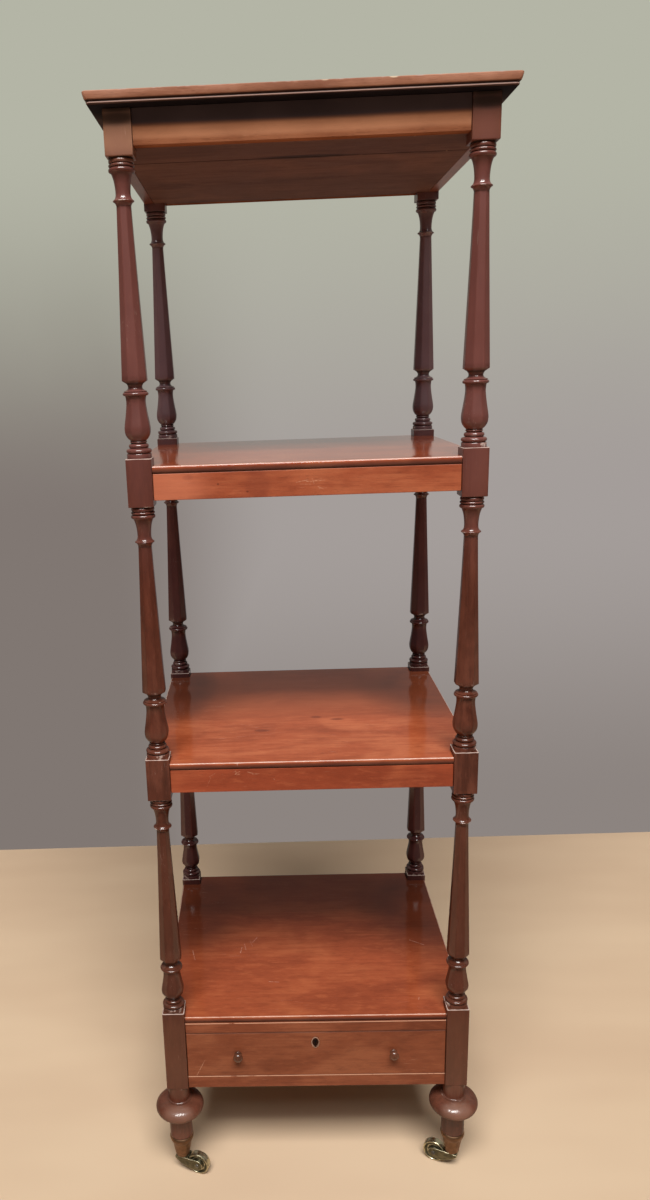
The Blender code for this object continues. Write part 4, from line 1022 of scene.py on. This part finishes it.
# Posts: tones of the two front top blocks, bun tones and highlights, painted light and shade on the
# stages, and painted shadow under the top on the four top blocks
post_wood = mahogany("post_polish", "z", (54, 26, 18), (90, 46, 33), (112, 64, 49), 0.3, 0.4,
                     scratches_on(-0.2, [(-216.5, 1235.9, -197.5, 1235.3, 0.8, 0.7)]),
                     [((-0.205, -0.19, 1.444), (0.05, 0.05, 0.04), (158, 114, 88), 0.95),
                      ((0.205, -0.19, 1.444), (0.05, 0.05, 0.04), (107, 62, 44), 0.9)]
                     + bun_tones_and_highlights + stage_light_and_shade,
                     [((x, y, 1.4685), (0.04, 0.04, 0.0125), 1.0) for x, y in corners]
                     + [((x, y, 1.4573), (0.04, 0.04, 0.0118), 0.9) for x, y in corners],
                     figure=0.5, worn_tone=(212, 190, 180), coat=0.42, sheen=0.1, shine=0.18,
                     relief_share=0.2, film=2.2, wrinkled=((0, 0, 0.12), (1, 1, 0.022)),
                     dulled=0.92)
# Frieze: a painted pale band just below the top's shadow, painted shadow under the top's overhang,
# and a grey tone for that shadow
frieze_wood = mahogany("frieze_polish", "x", (104, 60, 40), (130, 79, 55), (152, 98, 70), 0.4,
                       0.3, (), [((0, -0.199, 1.4425), (0.6, 0.2, 0.011), (204, 146, 112), 0.4)],
                       [((0, -0.199, 1.4675), (0.6, 0.2, 0.0185), 1.0),
                        ((0, -0.199, 1.4573), (0.6, 0.2, 0.0118), 1.0)], coat=0.0,
                       sheen=0.0, dust_and_shade=((64, 53, 56), (76, 63, 66)))
upper_rail_wood = mahogany(
    "upper_rail_polish", "x", (126, 58, 36), (158, 80, 52), (182, 104, 70), 0.4, 0.45,
    scratches_on(RAIL_FACE, [
        (-13.1, 1046.2, 2.9, 1049.3, 0.5, 0.6), (-0.2, 1047, 22.5, 1048, 0.5, 0.7),
        (4.3, 1046.1, 18.1, 1050.3, 0.4, 0.5), (-8.1, 1044.1, 5.2, 1043.6, 0.4, 0.4),
        (13.8, 1040.3, 21.1, 1037.3, 0.5, 0.6), (15.2, 1037.8, 24.2, 1038.9, 0.4, 0.4),
        (6.6, 1051, 9, 1044.3, 0.5, 0.6)]),
    [((-0.146, -0.199, 1.0565), (0.009, 0.02, 0.004), (112, 44, 32), 0.7),
     ((-0.109, -0.199, 1.0472), (0.002, 0.02, 0.0018), (74, 30, 22), 0.6),
     ((-0.073, -0.199, 1.0372), (0.002, 0.02, 0.0015), (74, 30, 22), 0.6),
     ((-0.06, -0.199, 1.0445), (0.02, 0.02, 0.03), (118, 54, 38), 0.35),
     ((-0.2, -0.199, 1.045), (0.1, 0.02, 0.05), (204, 122, 92), 0.5)], coat=0.1)
lower_rail_wood = mahogany(
    "lower_rail_polish", "x", (126, 55, 34), (158, 73, 46), (180, 96, 62), 0.38, 0.55,
    scratches_on(RAIL_FACE, [
        (-101.2, 663.9, -96.2, 659.6, 0.5, 0.7), (-101.8, 660.2, -95.7, 664.1, 0.6, 0.8),
        (-99.8, 659.1, -94.2, 661.1, 0.5, 0.5), (-104.9, 661.8, -100.3, 666.1, 0.4, 0.4),
        (-85.1, 663.1, -77.2, 660.6, 0.5, 0.6), (-78.9, 659.7, -69.8, 660.3, 0.6, 0.6),
        (-137.1, 657, -128.8, 661.9, 0.5, 0.4), (-140.2, 643.2, -134.7, 656.1, 0.5, 0.25),
        (-50.3, 652.3, -49.5, 651.5, 1, 0.5)]), coat=0.1)
side_rail_wood = mahogany("side_rail_polish", "y", (88, 44, 30), (118, 64, 44), (142, 86, 60),
                          0.4, 0.4, coat=0.1)
# Base rails: painted shade in the gap above the drawer
base_rail_wood = mahogany("base_rail_polish", "x", (98, 48, 30), (131, 70, 46), (156, 91, 62),
                          0.38, 0.8, (), (),
                          [((0, -0.1985, 0.2518), (0.6, 0.2, 0.0019), 0.35)], coat=0.1)
WAXED = {"coat": 1.0, "sheen": 0.0, "shine": 0.1}
BOARD_ENDS = (-0.23, 0.23)
SHELF_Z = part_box("lower_shelf_board")[1][2]
BASE_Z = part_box("base_board")[1][2]
# Base board: scratches, a painted tone along the rear that evens out its shade, painted shadow at
# the rear of both ends, and a pale worn tone that also paints the nosing's highlight
base_wood = mahogany(
    "base_polish", "x", (114, 50, 30), (152, 74, 45), (176, 96, 60), 0.28, 0.62,
    scratches_on(BASE_Z, [
        (-188.6, -33.7, -183.4, -58.4, 0.8, 0.5), (-108.8, -27.1, -110.9, -41.9, 0.8, 0.7),
        (-104.8, -18.1, -102.2, -34.6, 0.8, 0.35), (-84.4, -0.8, -92.6, -15.7, 0.8, 0.5),
        (-95.9, -10, -91.7, -24, 0.8, 0.3), (-65.7, -116.5, -50.5, -118.1, 0.8, 0.5),
        (164.4, -14.5, 186.5, -29.5, 0.8, 0.45), (156, -159.4, 154.5, -164.1, 0.8, 0.5)],
        upright=False),
    [((0, 0.2, BASE_Z), (0.6, 0.16, 0.02), (150, 76, 48), 0.5),
     *(((x, 0.1, BASE_Z), (0.16, 0.2, 0.02), (76, 37, 26), 0.8) for x in BOARD_ENDS)],
    figure=0.4, worn_tone=(208, 166, 146), relief_share=0.2, film=1.22, **WAXED)
# Upper shelf: its near-white worn tone also paints the nosing's highlight
high_board_wood = mahogany(
    "high_board_polish", "x", (128, 54, 30), (165, 78, 46), (188, 103, 66), 0.26, 0.62,
    worn_tone=(216, 184, 170), relief_share=0.12, film=1.5, **WAXED)
# Lower shelf: two scratches on the nosing, painted light lifting the shaded rear, painted shadow at
# the rear of both ends and more at the left, three small dark marks, and a pale worn tone that also
# paints the nosing's highlight
board_wood = mahogany(
    "board_polish", "x", (124, 56, 33), (163, 80, 49), (188, 106, 70), 0.26, 0.62,
    [((-0.0842, -0.1995, 0.6698), (-0.0734, -0.1985, 0.676), 0.0008, 0.8),
     ((-0.0987, -0.1995, 0.6774), (-0.0984, -0.1995, 0.673), 0.0008, 0.7)],
    [((0, 0.2, SHELF_Z), (0.6, 0.3, 0.02), (204, 108, 70), 0.7),
     *(((x, 0.1, SHELF_Z), (0.16, 0.2, 0.02), (100, 52, 36), 0.75) for x in BOARD_ENDS),
     ((-0.2, 0.12, SHELF_Z), (0.07, 0.2, 0.02), (86, 44, 32), 0.7),
     ((-0.065, -0.0854, SHELF_Z), (0.015, 0.006, 0.02), (92, 40, 28), 0.6),
     ((0.0161, -0.0362, SHELF_Z), (0.011, 0.006, 0.02), (100, 42, 28), 0.55),
     ((0.0467, -0.0467, SHELF_Z), (0.013, 0.005, 0.02), (100, 42, 28), 0.6)],
    figure=0.45, worn_tone=(216, 184, 170), relief_share=0.2, film=1.2, **WAXED)
soffit_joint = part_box("soffit_front_board")[1][1]
soffit_wood = mahogany("soffit_finish", "x", (80, 52, 45), (108, 76, 65), (126, 90, 77), 0.72,
                       0.2, (), [((0.01, -0.105, 1.4289), (0.075, 0.012, 0.02), (38, 22, 16), 0.8),
                                 ((0, soffit_joint, 1.4289), (0.6, 0.0022, 0.02), (42, 24, 18),
                                  1.0),
                                 ((0, -0.199, 1.4289), (0.6, 0.11, 0.02), (88, 62, 56), 0.5)],
                       coat=0.0, sheen=0.12)
# Top: two pale spots on the front arris, a grey-pink worn tone that also paints the fillet's
# highlight, painted shade at the moulding's foot, and a dark bluish tone that is painted shade on
# the underside
top_wood = mahogany(
    "top_polish", "x", (128, 84, 68), (172, 120, 97), (194, 145, 123), 0.36, 0.5, (),
    [((0.0998, -0.22, 1.4805), (0.006, 0.01, 0.002), (206, 186, 160), 0.9),
     ((0.0256, -0.22, 1.4805), (0.005, 0.01, 0.0016), (200, 172, 148), 0.8)],
    [((0, -0.2205, 1.4666), (0.6, 0.2, 0.0031), 1.0)],
    worn_tone=(176, 152, 146), coat=0.05, sheen=0.1, dust_and_shade=((26, 22, 26), (35, 29, 34)))
keyhole_spot = middle("escutcheon")
# Drawer front: a scratch, painted shade round the keyhole for its depth, and painted shade in the
# gap under the rail above
drawer_wood = mahogany(
    "drawer_polish", "x", (98, 48, 31), (133, 72, 47), (156, 93, 63), 0.38, 0.4,
    scratches_on(-0.1985, [(-175.8, 179.1, -162.7, 205.3, 0.7, 0.6)]),
    [((keyhole_spot.x, -0.19, keyhole_spot.z), (0.006, 0.04, 0.0095), (20, 12, 9), 1.0)],
    [((0, -0.1985, 0.2512), (0.6, 0.2, 0.0018), 0.35)], figure=0.4, coat=0.1)
knob_wood = mahogany("knob_polish", "z", (60, 34, 24), (94, 55, 38), (124, 80, 58), 0.24, 0.3,
                     coat=0.35, shine=0.14, film=1.8)
pine = bare_pine("bare_pine")
brass = old_metal("aged_brass_patina", (116, 110, 88), (198, 190, 160), (62, 58, 44), 0.44, 0.26)
cup_brass = old_metal("brown_brass_patina", (134, 100, 74), (190, 152, 118), (96, 68, 50), 0.48,
                      0.32, 0.4)
plate_brass = old_metal("pale_brass_patina", (78, 50, 40), (240, 200, 176), (56, 36, 30), 0.6,
                        0.5, 0.4)
dark_iron = old_metal("dark_iron", (40, 34, 30), (64, 56, 50), (26, 20, 17), 0.6, 0.5)
steel = old_metal("worn_steel", (120, 118, 112), (196, 194, 186), (62, 54, 46), 0.42, 0.26)


# Assembly

def place_at(corner):
    spot = middle(corner + "_post")
    return Matrix.Translation((spot.x, spot.y, 0))


def settle(piece, body, node):
    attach(piece, body)
    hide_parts(node)


def refinish(node, finish):
    """Give a piece of the part itself another finish."""
    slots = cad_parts[node].data.materials
    slots.clear()
    slots.append(finish)


outline = post_outline()
for corner in CORNERS:
    post = turned(corner + "_turned_post", outline, post_wood, place_at(corner), POST_SIDES)
    settle(post, "frame", corner + "_post")
    cup = turned(corner + "_cup", cup_outline(), cup_brass, place_at(corner), CASTOR_SIDES)
    settle(cup, "frame", corner + "_castor_cup")
    axle = middle(corner + "_castor_wheel")
    pivot = middle(corner + "_post")
    heading = Vector((axle.x - pivot.x, axle.y - pivot.y, 0)).normalized()
    across = Matrix.Identity(4)
    across.col[0][:3] = heading
    across.col[1][:3] = (0, 0, 1)
    across.col[2][:3] = heading.cross(Vector((0, 0, 1)))
    across.translation = axle
    wheel = turned(corner + "_wheel", wheel_outline(), brass, across, CASTOR_SIDES)
    settle(wheel, corner + "_wheel", corner + "_castor_wheel")
    pin = turned(corner + "_wheel_pin", pin_outline(), steel, across, PIN_SIDES)
    settle(pin, corner + "_swivel", corner + "_castor_axle")
    horn = forked_horn(corner + "_horn", corner, brass)
    settle(horn, corner + "_swivel", corner + "_castor_horn")

settle(moulded_top("moulded_top", top_wood), "frame", "top_board")
for tier, wood in (("upper_shelf", high_board_wood), ("lower_shelf", board_wood),
                   ("base", base_wood)):
    shelf = nosed_shelf(tier + "_nosed", tier + "_board", wood, 2.4 if tier == "base" else 0.0)
    settle(shelf, "frame", tier + "_board")
tiers = {"frieze": frieze_wood, "upper_shelf": upper_rail_wood, "lower_shelf": lower_rail_wood}
for tier, front_wood in tiers.items():
    for side in ("front", "back", "left", "right"):
        wood = front_wood if side in ("front", "back") else side_rail_wood
        node = tier + "_" + side + "_rail"
        width = (0.3 if tier == "frieze" else 0.7) * MM
        rail = softened(tier + "_" + side + "_eased", node, wood, width, rubbed=(0.1, 0.4))
        settle(rail, "frame", node)
for node, wood in (("base_upper_rail", base_rail_wood), ("base_lower_rail", base_rail_wood),
                   ("base_back_panel", base_rail_wood), ("base_left_panel", side_rail_wood),
                   ("base_right_panel", side_rail_wood)):
    rail = softened(node + "_eased", node, wood, rubbed=(1.5, 0.3))
    settle(rail, "frame", node)
for node in ("soffit_front_board", "soffit_back_board"):
    settle(softened(node + "_eased", node, soffit_wood, 0.5 * MM), "frame", node)

front_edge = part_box("drawer_front")


def outer_edge(edge):
    """Edges round the show face of the drawer front."""
    low, high = (Vector(corner) for corner in front_edge)
    for vert in edge.verts:
        at_side = min(abs(vert.co.x - low.x), abs(vert.co.x - high.x)) < TINY
        at_end = min(abs(vert.co.z - low.z), abs(vert.co.z - high.z)) < TINY
        if not (abs(vert.co.y - low.y) < TINY and (at_side or at_end)):
            return False
    return True


front = softened("drawer_front_eased", "drawer_front", drawer_wood, 0.8 * MM, outer_edge,
                 (0.0, 0.6))
settle(front, "drawer", "drawer_front")
for side in ("left", "right"):
    knob = middle("drawer_knob_" + side)
    place = Matrix.Translation((knob.x, front_edge[0][1], knob.z)) @ Matrix.Rotation(pi / 2, 4, "X")
    piece = turned("turned_knob_" + side, knob_outline(), knob_wood, place, KNOB_SIDES)
    settle(piece, "drawer", "drawer_knob_" + side)
settle(keyhole_plate("keyhole_plate", plate_brass), "drawer", "escutcheon")
for node in ("drawer_side_left", "drawer_side_right", "drawer_back", "drawer_bottom",
             "drawer_runner_left", "drawer_runner_right", "drawer_kicker_left",
             "drawer_kicker_right", "drawer_stop_left", "drawer_stop_right"):
    refinish(node, pine)
refinish("lock_case", dark_iron)
refinish("lock_bolt", steel)

set_stage()
